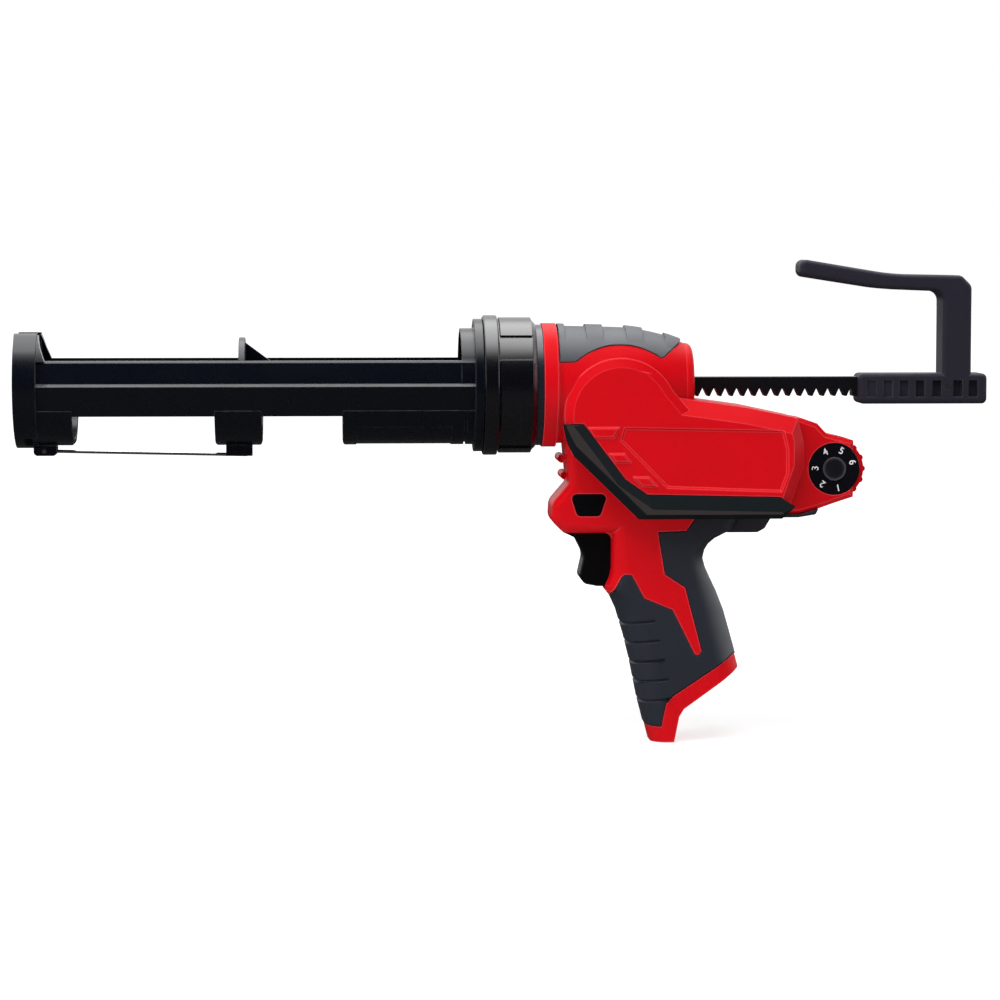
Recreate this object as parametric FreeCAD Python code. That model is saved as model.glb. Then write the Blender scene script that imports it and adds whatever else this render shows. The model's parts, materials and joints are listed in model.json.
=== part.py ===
"""Cordless caulking tool: cartridge carriage, geared drive housing with grip, and toothed push rod.

Millimetres. X runs along the push rod from the nozzle end (-X) to the pull handle (+X), +Y is the
right-hand side of the tool and +Z is up. The origin lies on the barrel axis, at the front face of
the housing.
"""
import FreeCAD
import Part
import math
import os

# Clearances
FIT = 0.3
RUN = 0.05
SEAM = 0.35

# Cartridge carriage
CARRIAGE_BORE_R = 25.0
CARRIAGE_R = 28.3
CARRIAGE_LENGTH = 199.6
PLATE_T = 10.7
PLATE_R = 29.5
PLATE_TOP = 25.2
NOZZLE_SLOT_R = 10.5
PLATE_FACET = (17.4, 24.2)
PLATE_NOTCH_LENGTH = 6.4
PLATE_NOTCH = (9.0, 17.0, -23.4)
PLATE_NOTCH_FLOOR_R = 26.0
GUSSET_OUTLINE = ((-0.5, 24.2), (0.3, 24.2), (1.9, 18.0), (4.2, 12.0), (-0.5, 12.0))
RAIL_TOP = 12.5
RAIL_TOP_EDGE = 1.0
RAIL_BOTTOM = -13.6
RAIL_LEDGE_Z = 1.7
RAIL_LEDGE_Y = 27.1
RAIL_RIDGE_Z = 0.4
RAIL_RIDGE_Y = 28.8
RAIL_EDGE_Y = 24.7
SADDLE_TOP = -11.0
SADDLE_CORNER_R = 2.4
FRONT_SADDLE_LENGTH = 16.5
MIDDLE_SADDLE_GAP = 83.3
MIDDLE_SADDLE_LENGTH = 22.2
REAR_SADDLE_LENGTH = 56.0
SADDLE_GROOVE_GAP = 3.8
SADDLE_GROOVE_WIDTH = 1.2
SADDLE_GROOVE_DEPTH = 1.2
SADDLE_PANEL = (10.9, 55.9)
SADDLE_PANEL_TOP = -18.9
SADDLE_PANEL_DEPTH = 0.4
HEAD_LENGTH = 6.4
HEAD_R = 27.2
FLANGE_T = 4.0
FLANGE_R = 31.7
SPIGOT_R = 27.0
LIP_R = 28.9
LIP_T = 3.4

# Piercing wire under the carriage
WIRE_R = 0.8
WIRE_LENGTH = 98.0
WIRE_PIN_R = 1.0
WIRE_EYE_R = 2.1
WIRE_PIN_SETBACK = 2.1
WIRE_DROP = 2.6
WIRE_LEAN = math.radians(1.2)
BRACKET_LENGTH = 11.0
BRACKET_SETBACK = -2.9
BRACKET_T = 1.0
BRACKET_HALF = 4.6
SEAT_DROP = 28.4
LATCH_LENGTH = 12.5
LATCH_HALF = 4.0
LATCH_BOTTOM = -33.4

# Lock ring and nose sleeve
RING_LENGTH = 25.4
RING_R = 31.5
RING_FLANGE_R = 33.4
RING_FLANGE_T = 6.8
RING_PAD_R = 32.4
RING_GROOVES = 4
RING_GROOVE_WIDTH = 13.5
RING_GROOVE_TURN = 54.0
RING_LINE = 0.8
RING_CHAMFER = 2.4
RING_GAP = 0.4
BAND_LENGTH = 4.4
SLEEVE_R = 28.9
SLEEVE_SEAT_R = 26.0
SLEEVE_BORE_R = 24.0
SLEEVE_SEAT = 8.5
THREAD_LENGTH = 5.0

# Push rod
MODULE = 1.75
PRESSURE = math.radians(25)
ADDENDUM = 0.96
DEDENDUM = 1.25
PINION_TEETH = 11
RACK_TOP = 3.8
RACK_TIP = -5.5
RACK_HALF = 4.5
RACK_BACKLASH = 0.14
RACK_TEETH = 46
ROD_FRONT = -140.0
ROD_REAR = 206.0

# Plunger
PLUNGER_R = 23.0
PLUNGER_T = 3.0
PLUNGER_FRONT = -146.0
PLUNGER_HUB_R = 8.0
PLUNGER_HUB_LENGTH = 20.0
GUSSET_T = 2.4
GUSSETS = 4
PLUNGER_SCREW_R = 2.0
PLUNGER_SCREW_HEAD_R = 4.5
PLUNGER_SCREW_HEAD_T = 2.0
PLUNGER_SCREW_LENGTH = 14.0

# Pull handle
HANDLE_HALF = 10.0
HANDLE_FRONT = 149.8
HANDLE_REAR = 211.7
HANDLE_BASE_TOP = 5.4
HANDLE_BASE_BOTTOM = -9.1
HANDLE_ROUND = 2.2
BAR_FRONT = 190.0
BAR_REAR = 204.0
BAR_TOP = 52.3
BAR_CHAMFER = 5.0
BAR_FOOT = 0.0
ARM_TIP = 121.3
ARM_OUTLINE = (
    (BAR_REAR, BAR_FOOT, 0), (BAR_REAR, BAR_TOP - BAR_CHAMFER, 4), (BAR_REAR - BAR_CHAMFER, BAR_TOP, 4),
    (165.0, 53.0, 120), (ARM_TIP, 60.3, 3.2), (ARM_TIP, 51.9, 3.2), (160.0, 45.8, 120),
    (BAR_FRONT, 44.6, 4.6), (BAR_FRONT, BAR_FOOT, 0),
)
POCKET_MIDDLES = (156.0, 163.8, 171.5, 179.2, 187.3, 197.4, 204.8)
POCKET_DEPTHS = (0.7, 0.9, 1.6, 2.6, 3.0, 3.0, 3.0)
POCKET_LENGTH = 4.4
POCKET_TOP = 2.3
POCKET_BOTTOM = -5.8
HANDLE_PIN_R = 1.5
HANDLE_PIN_PLACE = 5

# Housing shells
WALL = 2.6
NECK_R = 29.6
NECK_FRONT = -2.0
NECK_LENGTH = 6.6
CASE_R_FRONT = 27.9
CASE_R_MIDDLE = 27.3
CASE_R_REAR = 20.0
CASE_SHOULDER = 30.0
CASE_REAR = 66.3
CASE_BEAD = 70.1
CASE_BEAD_R = 16.8
CASE_BACK = 67.9
CASE_BACK_R = 13.6
DRUM_R = 26.9
DRUM_FACE_R = 22.6
DRUM_HALF = 29.6
DRUM_EDGE_HALF = 27.4
DRUM_BOTTOM = -19.0
DRUM_TOE = (69.0, -14.0)
DRUM_CREASE = (52.6, 5.6)
TAIL_HALF = DRUM_HALF
TAIL_BEVEL = 6.5
TAIL_BOTTOM = -61.6
TAIL_OUTLINE = (
    (7.5, -19.0), (9.4, -28.2), (12.3, -32.6), (42.0, TAIL_BOTTOM),
    (108.0, TAIL_BOTTOM), (115.5, -56.0), (121.6, -38.0), (121.6, -27.0), (118.6, -15.2),
    (95.0, -10.2), (58.0, -5.0),
)
TAIL_INSETS = (2.0, 2.0, 2.5, 2.5, 3.5, 5.4, 5.4, 5.0, 7.4, 7.4, 2.0)
NOSE_HALF = 18.0
NOSE_ROUND = 5.0
NOSE_BOTTOM = -70.1
NOSE_OUTLINE = (
    (7.2, -14.0, 0), (10.4, -46.4, 3), (2.4, -55.8, 6), (1.9, -64.0, 6), (8.0, -70.1, 6), (50.0, -70.1, 0),
    (60.0, -58.0, 0), (60.0, -14.0, 0),
)
NOSE_RIBS = ((7.3, -34.8), (8.7, -42.8))
NOSE_RIB_R = 2.0
NOSE_RIB_HALF = 10.5
PANEL_DEPTH = 0.9
PANEL_LIP = 1.0
PANEL_OUTLINE = (
    (36.3, -20.0), (34.9, -25.1), (56.4, -46.9), (109.6, -48.9), (112.6, -41.0), (112.6, -30.0),
    (110.6, -21.6),
)
LOUVRES = (
    ((18.2, -18.9), (33.4, -18.9), (30.8, -24.1), (20.8, -24.1)),
    ((28.1, -31.2), (35.7, -31.2), (38.9, -35.8), (31.3, -35.8)),
    ((39.6, -42.3), (47.1, -42.3), (51.4, -47.0), (43.8, -47.0)),
)
LOUVRE_HEIGHT = 1.0
LOUVRE_BEVEL = 0.7

# Grip: height, front, rear, half width and corner radius of each section
GRIP_SECTIONS = (
    (-58.0, 31.0, 93.0, 18.0, 6.0),
    (-68.6, 31.0, 89.0, 18.0, 6.5),
    (-70.6, 31.0, 84.6, 18.0, 6.8),
    (-73.0, 31.0, 80.0, 18.0, 7.0),
    (-75.6, 31.0, 77.0, 17.9, 7.3),
    (-78.6, 31.0, 75.2, 17.9, 7.6),
    (-82.5, 31.0, 74.4, 17.8, 8.0),
    (-87.0, 31.0, 75.7, 17.7, 8.5),
    (-91.2, 30.2, 77.7, 17.6, 9.3),
    (-95.6, 28.2, 79.8, 17.6, 10.3),
    (-98.2, 28.5, 81.1, 17.7, 11.0),
    (-101.2, 31.6, 82.3, 17.8, 11.5),
    (-108.0, 34.7, 85.0, 18.0, 12.5),
    (-120.0, 38.3, 88.4, 18.3, 13.0),
    (-132.0, 41.3, 91.7, 18.5, 13.0),
    (-150.0, 44.9, 96.6, 18.6, 13.0),
    (-174.0, 51.0, 103.0, 18.7, 13.0),
)
FOOT_OUTLINE = (
    (50.3, -170.9), (60.8, -170.2), (63.2, -158.0), (65.4, -154.4), (92.3, -135.0),
    (110.0, -120.0), (110.0, -40.0), (10.0, -40.0), (10.0, -170.9),
)
CORNER_OUTLINE = (
    (27.4, -69.6), (27.4, -70.1), (29.0, -70.5), (30.3, -71.5), (31.1, -73.0), (31.4, -75.0), (33.0, -75.0),
    (33.0, -69.6),
)
CORNER_HALF = 12.4

# Rubber
RUBBER_PROUD = 0.5
RUBBER_DEPTH = 1.4
PAD_FRONT = 5.5
PAD_LOWER = 11.7
PAD_ARC_GAP = 6.3
PAD_REAR_LOW = (54.6, 13.6)
PAD_REAR_HIGH = (64.4, 21.4)
PAD_LUGS = ((5.5, 8.6), (18.7, 26.8), (37.8, 46.0), (56.8, 64.6))
PAD_LUG_HEIGHT = 1.6
PAD_LUG_RAISE = 4.0
BUMPER_FLOOR = 28.2
BUMPER_FACE = 32.2
BUMPER_OUTLINE = (
    (6.6, -17.4), (16.2, -17.6), (36.0, -43.7), (46.5, -51.0), (109.6, -52.4), (117.0, -56.6),
    (110.4, -62.4), (42.4, -62.4), (11.8, -32.6), (8.6, -26.4),
)
BUMPER_INSETS = (0.8, 4.2, 4.0, 6.6, 5.6, 1.6, 2.2, 4.2, 3.0, 1.2)
GRIP_RUBBER_OUTLINE = (
    (22.0, -105.0), (30.6, -99.8), (32.8, -97.0), (35.8, -91.2), (37.4, -90.0), (40.1, -90.3),
    (41.8, -93.2), (46.1, -101.3), (59.7, -107.0),
    (70.3, -128.2), (72.2, -129.0), (74.1, -126.7), (66.1, -96.0), (56.4, -89.6), (53.1, -69.7),
    (66.4, -69.3), (71.4, -62.1), (110.0, -62.1), (110.0, -128.4), (89.4, -128.4), (59.8, -148.0),
    (56.5, -151.7), (54.5, -162.7), (30.0, -162.7),
)
GROOVES = 5
GROOVE_FIRST = -113.9
GROOVE_PITCH = -9.3
GROOVE_HEIGHT = 1.1
GROOVE_DEPTH = 0.9
GROOVE_RISE = math.radians(7)
GROOVE_REACH = 15.0
WEB_HALF = 13.0
WEB_ROUND = 2.5
WEB_OUTLINE = (
    (70.0, TAIL_BOTTOM), (121.0, TAIL_BOTTOM), (130.4, -59.0), (129.0, -61.8), (120.5, -63.2),
    (107.5, -63.2), (104.4, -68.4), (101.0, -70.2), (70.0, -70.2),
)

# Trigger group
TRIGGER_HALF = 8.5
TRIGGER_TRAVEL = 6.0
TRIGGER_TOP = -70.6
TRIGGER_REAR = 33.6
TRIGGER_BOTTOM = -96.2
TRIGGER_OUTLINE = (
    (9.0, TRIGGER_TOP, 0), (14.0, -72.9, 5.0), (18.0, -81.0, 7.0), (15.7, -91.2, 3.0),
    (18.4, -95.0, 3.0), (24.5, TRIGGER_BOTTOM, 8.0), (TRIGGER_REAR, TRIGGER_BOTTOM, 0),
    (TRIGGER_REAR, TRIGGER_TOP, 0),
)
TRIGGER_ROUND = 1.4
TRIGGER_STEM_R = 1.8
TRIGGER_STEM_Z = -82.0
SPRING_R = 3.2
SPRING_WIRE_R = 0.4
SPRING_TURNS = 6
SPRING_POCKET = 9.0
SWITCH_FRONT = 41.0
SWITCH_LENGTH = 19.0
SWITCH_HALF = 9.0
SWITCH_TOP = -72.0
SWITCH_BOTTOM = -92.0
LOCK_OUTLINE = ((11.2, -51.5, 2.0), (28.4, -51.5, 2.0), (25.0, -61.6, 2.0), (14.5, -61.6, 2.0))
LOCK_TRAVEL = 5.0
LOCK_PROUD = 0.4

# Speed dial
DIAL_X = 137.7
DIAL_Z = -39.9
DIAL_FACE_R = 12.2
DIAL_R = 14.3
DIAL_LUG_R = 15.1
DIAL_LUGS = 16
DIAL_HALF = 11.0
DIAL_FACE_T = 1.6
DIAL_WEB_T = 3.0
DIAL_AXLE_R = 2.0
CHEEK_HALF = 13.5
CHEEK_ROUND = 2.0
POT_R = 9.0
POT_RING = 1.2
CHEEK_OUTLINE = (
    (104.0, -13.0), (122.4, -15.8), (129.6, -18.3), (133.9, -23.0), (147.0, -26.4), (147.0, -53.4),
    (137.8, -56.4), (130.4, -59.0), (121.0, TAIL_BOTTOM), (104.0, TAIL_BOTTOM),
)

# Gear train
OUTPUT_X = 34.3
MOTOR_DROP = 25.0
GEAR_MODULE = 1.0
GEAR_TEETH = 42
LAY_TEETH = 12
GEAR_BACKLASH = 0.12
GEAR_NEAR = 7.0
GEAR_T = 6.0
BEVEL_TEETH = 24
BEVEL_PINION_TEETH = 12
BEVEL_FACE = 4.0
BEVEL_BACKLASH = 0.16
BEVEL_BACK = 3.0
OUTPUT_SHAFT_R = 4.0
LAY_SHAFT_R = 3.0
BUSH_WALL = 2.0
PINION_HALF = 5.5
GEAR_PLATE_NEAR = 17.5
GEAR_PLATE_T = 2.5
SPACER_R = 2.2
SPACERS = ((57.4, -25.0), (53.6, -53.0))
SUPPORT_T = 5.5
SUPPORT_LENGTH = 16.0
SEAT_RING_R = 12.0
SEAT_RING_BORE_R = 9.0

# Planet stage and motor
PLANET_MODULE = 0.5
SUN_TEETH = 12
PLANET_TEETH = 18
RING_TEETH = SUN_TEETH + 2 * PLANET_TEETH
PLANETS = 3
PLANET_BACKLASH = 0.08
PLANET_T = 8.0
CARRIER_T = 2.5
CARRIER_R = 10.5
BEVEL_SHAFT_R = 2.5
CLUTCH_R = 4.2
CLUTCH_ROLLERS = 6
CLUTCH_GAP = 0.02
PLANET_PIN_R = 1.5
GEARBOX_R = 15.5
GEARBOX_FRONT = 62.0
GEARBOX_WALL = 3.0
GEARBOX_LENGTH = 18.0
MOTOR_R = 15.5
MOTOR_LENGTH = 28.0
MOTOR_WALL = 1.4
MAGNET_T = 2.6
ENDCAP_T = 3.5
ARMATURE_GAP = 0.4
ARMATURE_LENGTH = 18.0
MOTOR_SHAFT_R = 1.5
RIB_T = 2.0
RIBS = (70.0, 84.0, 102.0)

# Board, contacts and screws
BOARD_FRONT = 66.5
BOARD_LENGTH = 40.0
BOARD_HALF = 12.0
BOARD_T = 1.6
BOARD_TOP = -55.0
SOCKET_TILT = math.radians(15)
SOCKET_FRONT = (50.0, -130.0)
SOCKET_DEPTH = 34.5
SOCKET_HALF = 14.0
SOCKET_ROUND = 7.0
SOCKET_TOP = -101.0
BLOCK_FRONT = 48.0
BLOCK_LENGTH = 24.0
BLOCK_HALF = 11.0
BLOCK_T = 6.5
BLADES = 3
BLADE_PITCH = 6.5
BLADE_T = 0.8
BLADE_WIDTH = 6.0
BLADE_LENGTH = 12.0
LEAD_R = 1.0
LEAD_Y = 6.0
LEAD_BEND_R = 5.0
SCREWS = ((61.2, 10.4), (13.6, -41.0), (8.6, -65.0), (124.6, -24.6), (123.2, -56.0), (68.0, -74.0),
          (58.4, -165.6))
SCREW_SEATS = (14.0, 12.5, 12.0, 9.6, 9.6, 11.5, 12.5)
SCREW_R = 1.5
SCREW_HEAD_R = 2.7
SCREW_HEAD_T = 2.0
SCREW_DEPTH = 8.0
SCREW_BOSS_R = 3.2
REAR_GUIDE_LENGTH = 7.6
REAR_GUIDE_HALF = 9.0
GUIDE_T = 5.0
GUIDE_FRONT = 2.5
GUIDE_WALL = 2.0

# Places worked out from the sizes above
RING_REAR = -BAND_LENGTH - RING_GAP
RING_FRONT = RING_REAR - RING_LENGTH
FLANGE_REAR = RING_FRONT - FIT
FLANGE_FRONT = FLANGE_REAR - FLANGE_T
HEAD_FRONT = FLANGE_FRONT - HEAD_LENGTH
PLATE_REAR = HEAD_FRONT - CARRIAGE_LENGTH
PLATE_FRONT = PLATE_REAR - PLATE_T
SLEEVE_FRONT = RING_REAR - THREAD_LENGTH
LIP_REAR = SLEEVE_FRONT - FIT
LIP_FRONT = LIP_REAR - LIP_T
MIDDLE_SADDLE_FRONT = PLATE_REAR + MIDDLE_SADDLE_GAP
BRACKET_FRONT = PLATE_REAR + BRACKET_SETBACK
WIRE_PIN_X = PLATE_REAR + WIRE_PIN_SETBACK
WIRE_Z = -SEAT_DROP - WIRE_DROP
PITCH_R = MODULE * PINION_TEETH / 2
RACK_PITCH = math.pi * MODULE
RACK_PITCH_Z = RACK_TIP + ADDENDUM * MODULE
OUTPUT_Z = RACK_PITCH_Z - PITCH_R
MOTOR_Z = OUTPUT_Z - MOTOR_DROP
LAY_REACH = GEAR_MODULE * (GEAR_TEETH + LAY_TEETH) / 2
LAY_X = OUTPUT_X + math.sqrt(LAY_REACH ** 2 - MOTOR_DROP ** 2)
LAY_ANGLE = math.atan2(MOTOR_Z - OUTPUT_Z, LAY_X - OUTPUT_X)
BEVEL_R = GEAR_MODULE * BEVEL_TEETH / 2
BEVEL_PINION_R = GEAR_MODULE * BEVEL_PINION_TEETH / 2
PLANET_ORBIT = PLANET_MODULE * (SUN_TEETH + PLANET_TEETH) / 2
CARRIER_FRONT = GEARBOX_FRONT + GEARBOX_WALL + FIT
PLANET_FRONT = CARRIER_FRONT + CARRIER_T + FIT
MOTOR_FRONT = GEARBOX_FRONT + GEARBOX_LENGTH
MOTOR_REAR = MOTOR_FRONT + MOTOR_LENGTH
SHAFT_END = GEAR_PLATE_NEAR + GEAR_PLATE_T
BOARD_BOTTOM = BOARD_TOP - BOARD_T


def vec(x, y, z):
    """A point."""
    return FreeCAD.Vector(x, y, z)


def box(x0, x1, y0, y1, z0, z1):
    """Block between two corners."""
    return Part.makeBox(x1 - x0, y1 - y0, z1 - z0, vec(x0, y0, z0))


def rod_x(radius, x0, x1, z=0.0, y=0.0):
    """Round bar along X."""
    return Part.makeCylinder(radius, x1 - x0, vec(x0, y, z), vec(1, 0, 0))


def rod_y(radius, y0, y1, x, z):
    """Round bar along Y."""
    return Part.makeCylinder(radius, y1 - y0, vec(x, y0, z), vec(0, 1, 0))


def tube_x(outer, inner, x0, x1, z=0.0):
    """Tube along X."""
    return rod_x(outer, x0, x1, z).cut(rod_x(inner, x0, x1, z))


def tube_y(outer, inner, y0, y1, x, z):
    """Tube along Y."""
    return rod_y(outer, y0, y1, x, z).cut(rod_y(inner, y0, y1, x, z))


def prism(points, y0, y1):
    """Straight-sided outline in X and Z, drawn out along Y."""
    corners = [vec(x, y0, z) for x, z in points]
    face = Part.Face(Part.makePolygon(corners + corners[:1]))
    return face.extrude(vec(0, y1 - y0, 0))


def rounded_wire(points, y):
    """Closed wire in the plane y through corners (x, z, radius)."""
    edges = []
    ends = []
    for i, (x, z, radius) in enumerate(points):
        corner = vec(x, y, z)
        before = vec(points[i - 1][0], y, points[i - 1][1])
        after = vec(points[(i + 1) % len(points)][0], y, points[(i + 1) % len(points)][1])
        if not radius:
            ends.append((corner, corner))
            continue
        to_before = (before - corner).normalize()
        to_after = (after - corner).normalize()
        half = to_before.getAngle(to_after) / 2
        reach = radius / math.tan(half)
        middle = (to_before + to_after).normalize()
        near = corner + middle * (radius / math.sin(half) - radius)
        start = corner + to_before * reach
        stop = corner + to_after * reach
        edges.append(Part.Arc(start, near, stop).toShape())
        ends.append((start, stop))
    for i, (start, stop) in enumerate(ends):
        follow = ends[(i + 1) % len(ends)][0]
        if stop.distanceToPoint(follow) > 1e-6:
            edges.append(Part.LineSegment(stop, follow).toShape())
    return Part.Wire(Part.__sortEdges__(edges))


def rounded_prism(points, y0, y1):
    """Outline with rounded corners, drawn out along Y."""
    return Part.Face(rounded_wire(points, y0)).extrude(vec(0, y1 - y0, 0))


def offset_outline(points, distances):
    """Moves each side of an outline outwards by its own distance and returns the new corners."""
    area = sum(points[i - 1][0] * points[i][1] - points[i][0] * points[i - 1][1] for i in range(len(points)))
    turn = 1.0 if area > 0 else -1.0
    sides = []
    for i, (x, z) in enumerate(points):
        nx, nz = points[(i + 1) % len(points)]
        length = math.hypot(nx - x, nz - z)
        out = (turn * (nz - z) / length, -turn * (nx - x) / length)
        sides.append(((x + out[0] * distances[i], z + out[1] * distances[i]), (nx - x, nz - z)))
    corners = []
    for i, (point, way) in enumerate(sides):
        other, across = sides[i - 1]
        cross = across[0] * way[1] - across[1] * way[0]
        t = ((point[0] - other[0]) * way[1] - (point[1] - other[1]) * way[0]) / cross
        corners.append((other[0] + across[0] * t, other[1] + across[1] * t))
    return corners


def skin(rings):
    """Closed solid with flat faces through rings of matching corners."""
    faces = [Part.Face(Part.makePolygon(ring + ring[:1])) for ring in (rings[0], rings[-1])]
    for low, high in zip(rings, rings[1:]):
        for i in range(len(low)):
            quad = [low[i - 1], low[i], high[i], high[i - 1]]
            faces.append(Part.Face(Part.makePolygon(quad + quad[:1])))
    solid = Part.Solid(Part.Shell(faces))
    if solid.Volume < 0:
        solid.reverse()
    return solid


def bevelled(points, insets, levels):
    """Outline drawn out along Y through (y, share of the insets) levels."""
    rings = []
    for y, share in levels:
        ring = offset_outline(points, [-inset * share for inset in insets])
        rings.append([vec(x, y, z) for x, z in ring])
    return skin(rings)


def mirrored(shape):
    """Copy on the other side of the middle plane."""
    return shape.mirror(vec(0, 0, 0), vec(0, 1, 0))


def fuse(shapes):
    """One solid from several."""
    return shapes[0].fuse(list(shapes[1:])).removeSplitter()


def round_sides(shape, radius, half):
    """Rounds the edges that lie in the two planes y = half and y = -half."""
    edges = [e for e in shape.Edges
             if e.BoundBox.YLength < 1e-4 and abs(abs(e.BoundBox.YMin) - half) < 1e-4]
    return shape.makeFillet(radius, edges)


def involute(radius, base):
    """Angle of an involute flank at a radius."""
    roll = math.sqrt(max(radius / base, 1.0) ** 2 - 1.0)
    return roll - math.atan(roll)


def tooth_levels(teeth, module, addendum, dedendum, backlash):
    """Radius and half angle of a tooth from its root to its tip."""
    pitch = module * teeth / 2
    base = pitch * math.cos(PRESSURE)
    half = math.pi / (2 * teeth) - backlash / (2 * pitch)
    low = pitch - dedendum * module
    high = pitch + addendum * module
    start = max(low, base)
    radii = [start, (start + pitch) / 2, (pitch + high) / 2, high]
    if low < base:
        radii.insert(0, low)
    return [(r, half + involute(pitch, base) - involute(r, base)) for r in radii]


def gear_outline(teeth, levels, phase):
    """Corners of a gear as (radius, angle), with a tooth at the phase angle."""
    corners = []
    for i in range(teeth):
        middle = phase + 2 * math.pi * i / teeth
        corners += [(r, middle - a) for r, a in levels]
        corners += [(r, middle + a) for r, a in reversed(levels)]
    return corners


def spur_y(outline, x, z, y0, y1):
    """Gear body along Y; angles turn from +X towards +Z."""
    points = [(x + r * math.cos(a), z + r * math.sin(a)) for r, a in outline]
    return prism(points, y0, y1)


def spur_x(outline, y, z, x0, x1):
    """Gear body along X; angles turn from +Y towards +Z."""
    corners = [vec(x0, y + r * math.cos(a), z + r * math.sin(a)) for r, a in outline]
    face = Part.Face(Part.makePolygon(corners + corners[:1]))
    return face.extrude(vec(x1 - x0, 0, 0))


def bevel_outline(teeth, mate, phase):
    """Large-end corners of a bevel gear, with the tooth height laid square to its cone."""
    pitch = GEAR_MODULE * teeth / 2
    tilt = math.cos(math.atan2(teeth, mate))
    whole = teeth / tilt
    levels = []
    for r, a in tooth_levels(whole, GEAR_MODULE, ADDENDUM, DEDENDUM, BEVEL_BACKLASH):
        flat = pitch + (r - pitch / tilt) / tilt
        levels.append((flat, a * r / flat))
    return gear_outline(teeth, levels, phase)


def case_body(grow, neck_r=NECK_R):
    """Turned gear case with its neck, bead and rear wall."""
    neck_rear = NECK_FRONT + NECK_LENGTH + grow
    front = vec(NECK_FRONT - grow, 0, 0)
    neck = vec(NECK_FRONT - grow, 0, neck_r + grow)
    neck_end = vec(neck_rear, 0, neck_r + grow)
    step = vec(neck_rear + SEAM, 0, CASE_R_FRONT + grow)
    shoulder = vec(CASE_SHOULDER, 0, CASE_R_MIDDLE + grow)
    bend_x = CASE_SHOULDER + 0.55 * (CASE_REAR - CASE_SHOULDER)
    bend_r = CASE_R_MIDDLE - 0.3 * (CASE_R_MIDDLE - CASE_R_REAR) + grow
    rear = vec(CASE_REAR, 0, CASE_R_REAR + grow)
    bead = vec(CASE_BEAD + grow, 0, CASE_BEAD_R + 0.4 * grow)
    back = vec(CASE_BACK + grow, 0, CASE_BACK_R)
    foot = vec(CASE_BACK + grow, 0, 0)
    edges = [
        Part.makeLine(front, neck), Part.makeLine(neck, neck_end), Part.makeLine(neck_end, step),
        Part.makeLine(step, shoulder), Part.Arc(shoulder, vec(bend_x, 0, bend_r), rear).toShape(),
        Part.Arc(rear, bead, back).toShape(), Part.makeLine(back, foot), Part.makeLine(foot, front),
    ]
    face = Part.Face(Part.Wire(edges))
    return face.revolve(vec(0, 0, 0), vec(1, 0, 0), 360)


def case_hollow():
    """Room inside the gear case."""
    front = SLEEVE_SEAT
    middle_r = CASE_R_MIDDLE - WALL
    rear = CASE_BACK - WALL
    profile = [vec(front, 0, 0), vec(front, 0, middle_r), vec(CASE_SHOULDER, 0, middle_r),
               vec(rear, 0, CASE_R_REAR - WALL), vec(rear, 0, 0)]
    face = Part.Face(Part.makePolygon(profile + profile[:1]))
    return face.revolve(vec(0, 0, 0), vec(1, 0, 0), 360)


def drum(grow):
    """Round gear boss with coned edges, running out to the tail, flush with its sides."""
    edge = DRUM_EDGE_HALF + grow
    body = rod_y(DRUM_R + grow, -edge, edge, OUTPUT_X, OUTPUT_Z)
    cone = Part.makeCone(DRUM_R + grow, DRUM_FACE_R + grow, DRUM_HALF - DRUM_EDGE_HALF,
                         vec(OUTPUT_X, edge, OUTPUT_Z), vec(0, 1, 0))
    outline = [(OUTPUT_X, OUTPUT_Z + DRUM_FACE_R), DRUM_CREASE, DRUM_TOE, (DRUM_TOE[0], DRUM_BOTTOM),
               (OUTPUT_X, DRUM_BOTTOM)]
    bevel = [0, DRUM_R - DRUM_FACE_R, DRUM_R - DRUM_FACE_R, 0, 0]
    half = DRUM_HALF + grow
    wedge = bevelled(outline, bevel, ((-half, 1), (-edge, 0), (edge, 0), (half, 1)))
    reach = DRUM_R + DRUM_HALF
    keep = box(OUTPUT_X - reach, OUTPUT_X + reach, -reach, reach, DRUM_BOTTOM, OUTPUT_Z + reach)
    return fuse([body, cone, mirrored(cone), wedge]).common(keep)


def tail(grow):
    """Wide rear body with sloping top and bevelled sides."""
    outline = offset_outline(TAIL_OUTLINE, [grow] * len(TAIL_OUTLINE))
    flat = TAIL_HALF - TAIL_BEVEL + grow
    face = TAIL_HALF + grow
    return bevelled(outline, TAIL_INSETS, ((-face, 1), (-flat, 0), (flat, 0), (face, 1)))


def nose(grow):
    """Front block over the trigger, with rounded sides."""
    flat = [(x, z) for x, z, radius in NOSE_OUTLINE]
    moved = offset_outline(flat, [grow] * len(flat))
    outline = [(x, z, max(corner[2] + grow, 0) if corner[2] else 0)
               for (x, z), corner in zip(moved, NOSE_OUTLINE)]
    half = NOSE_HALF + grow
    return round_sides(rounded_prism(outline, -half, half), NOSE_ROUND, half)


def cheeks(grow):
    """Narrow end of the tail that holds the dial."""
    half = CHEEK_HALF + grow
    outline = offset_outline(CHEEK_OUTLINE, [grow] * len(CHEEK_OUTLINE))
    bevel = [CHEEK_ROUND] * len(CHEEK_OUTLINE)
    flat = half - CHEEK_ROUND
    return bevelled(outline, bevel, ((-half, 1), (-flat, 0), (flat, 0), (half, 1)))


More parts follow.
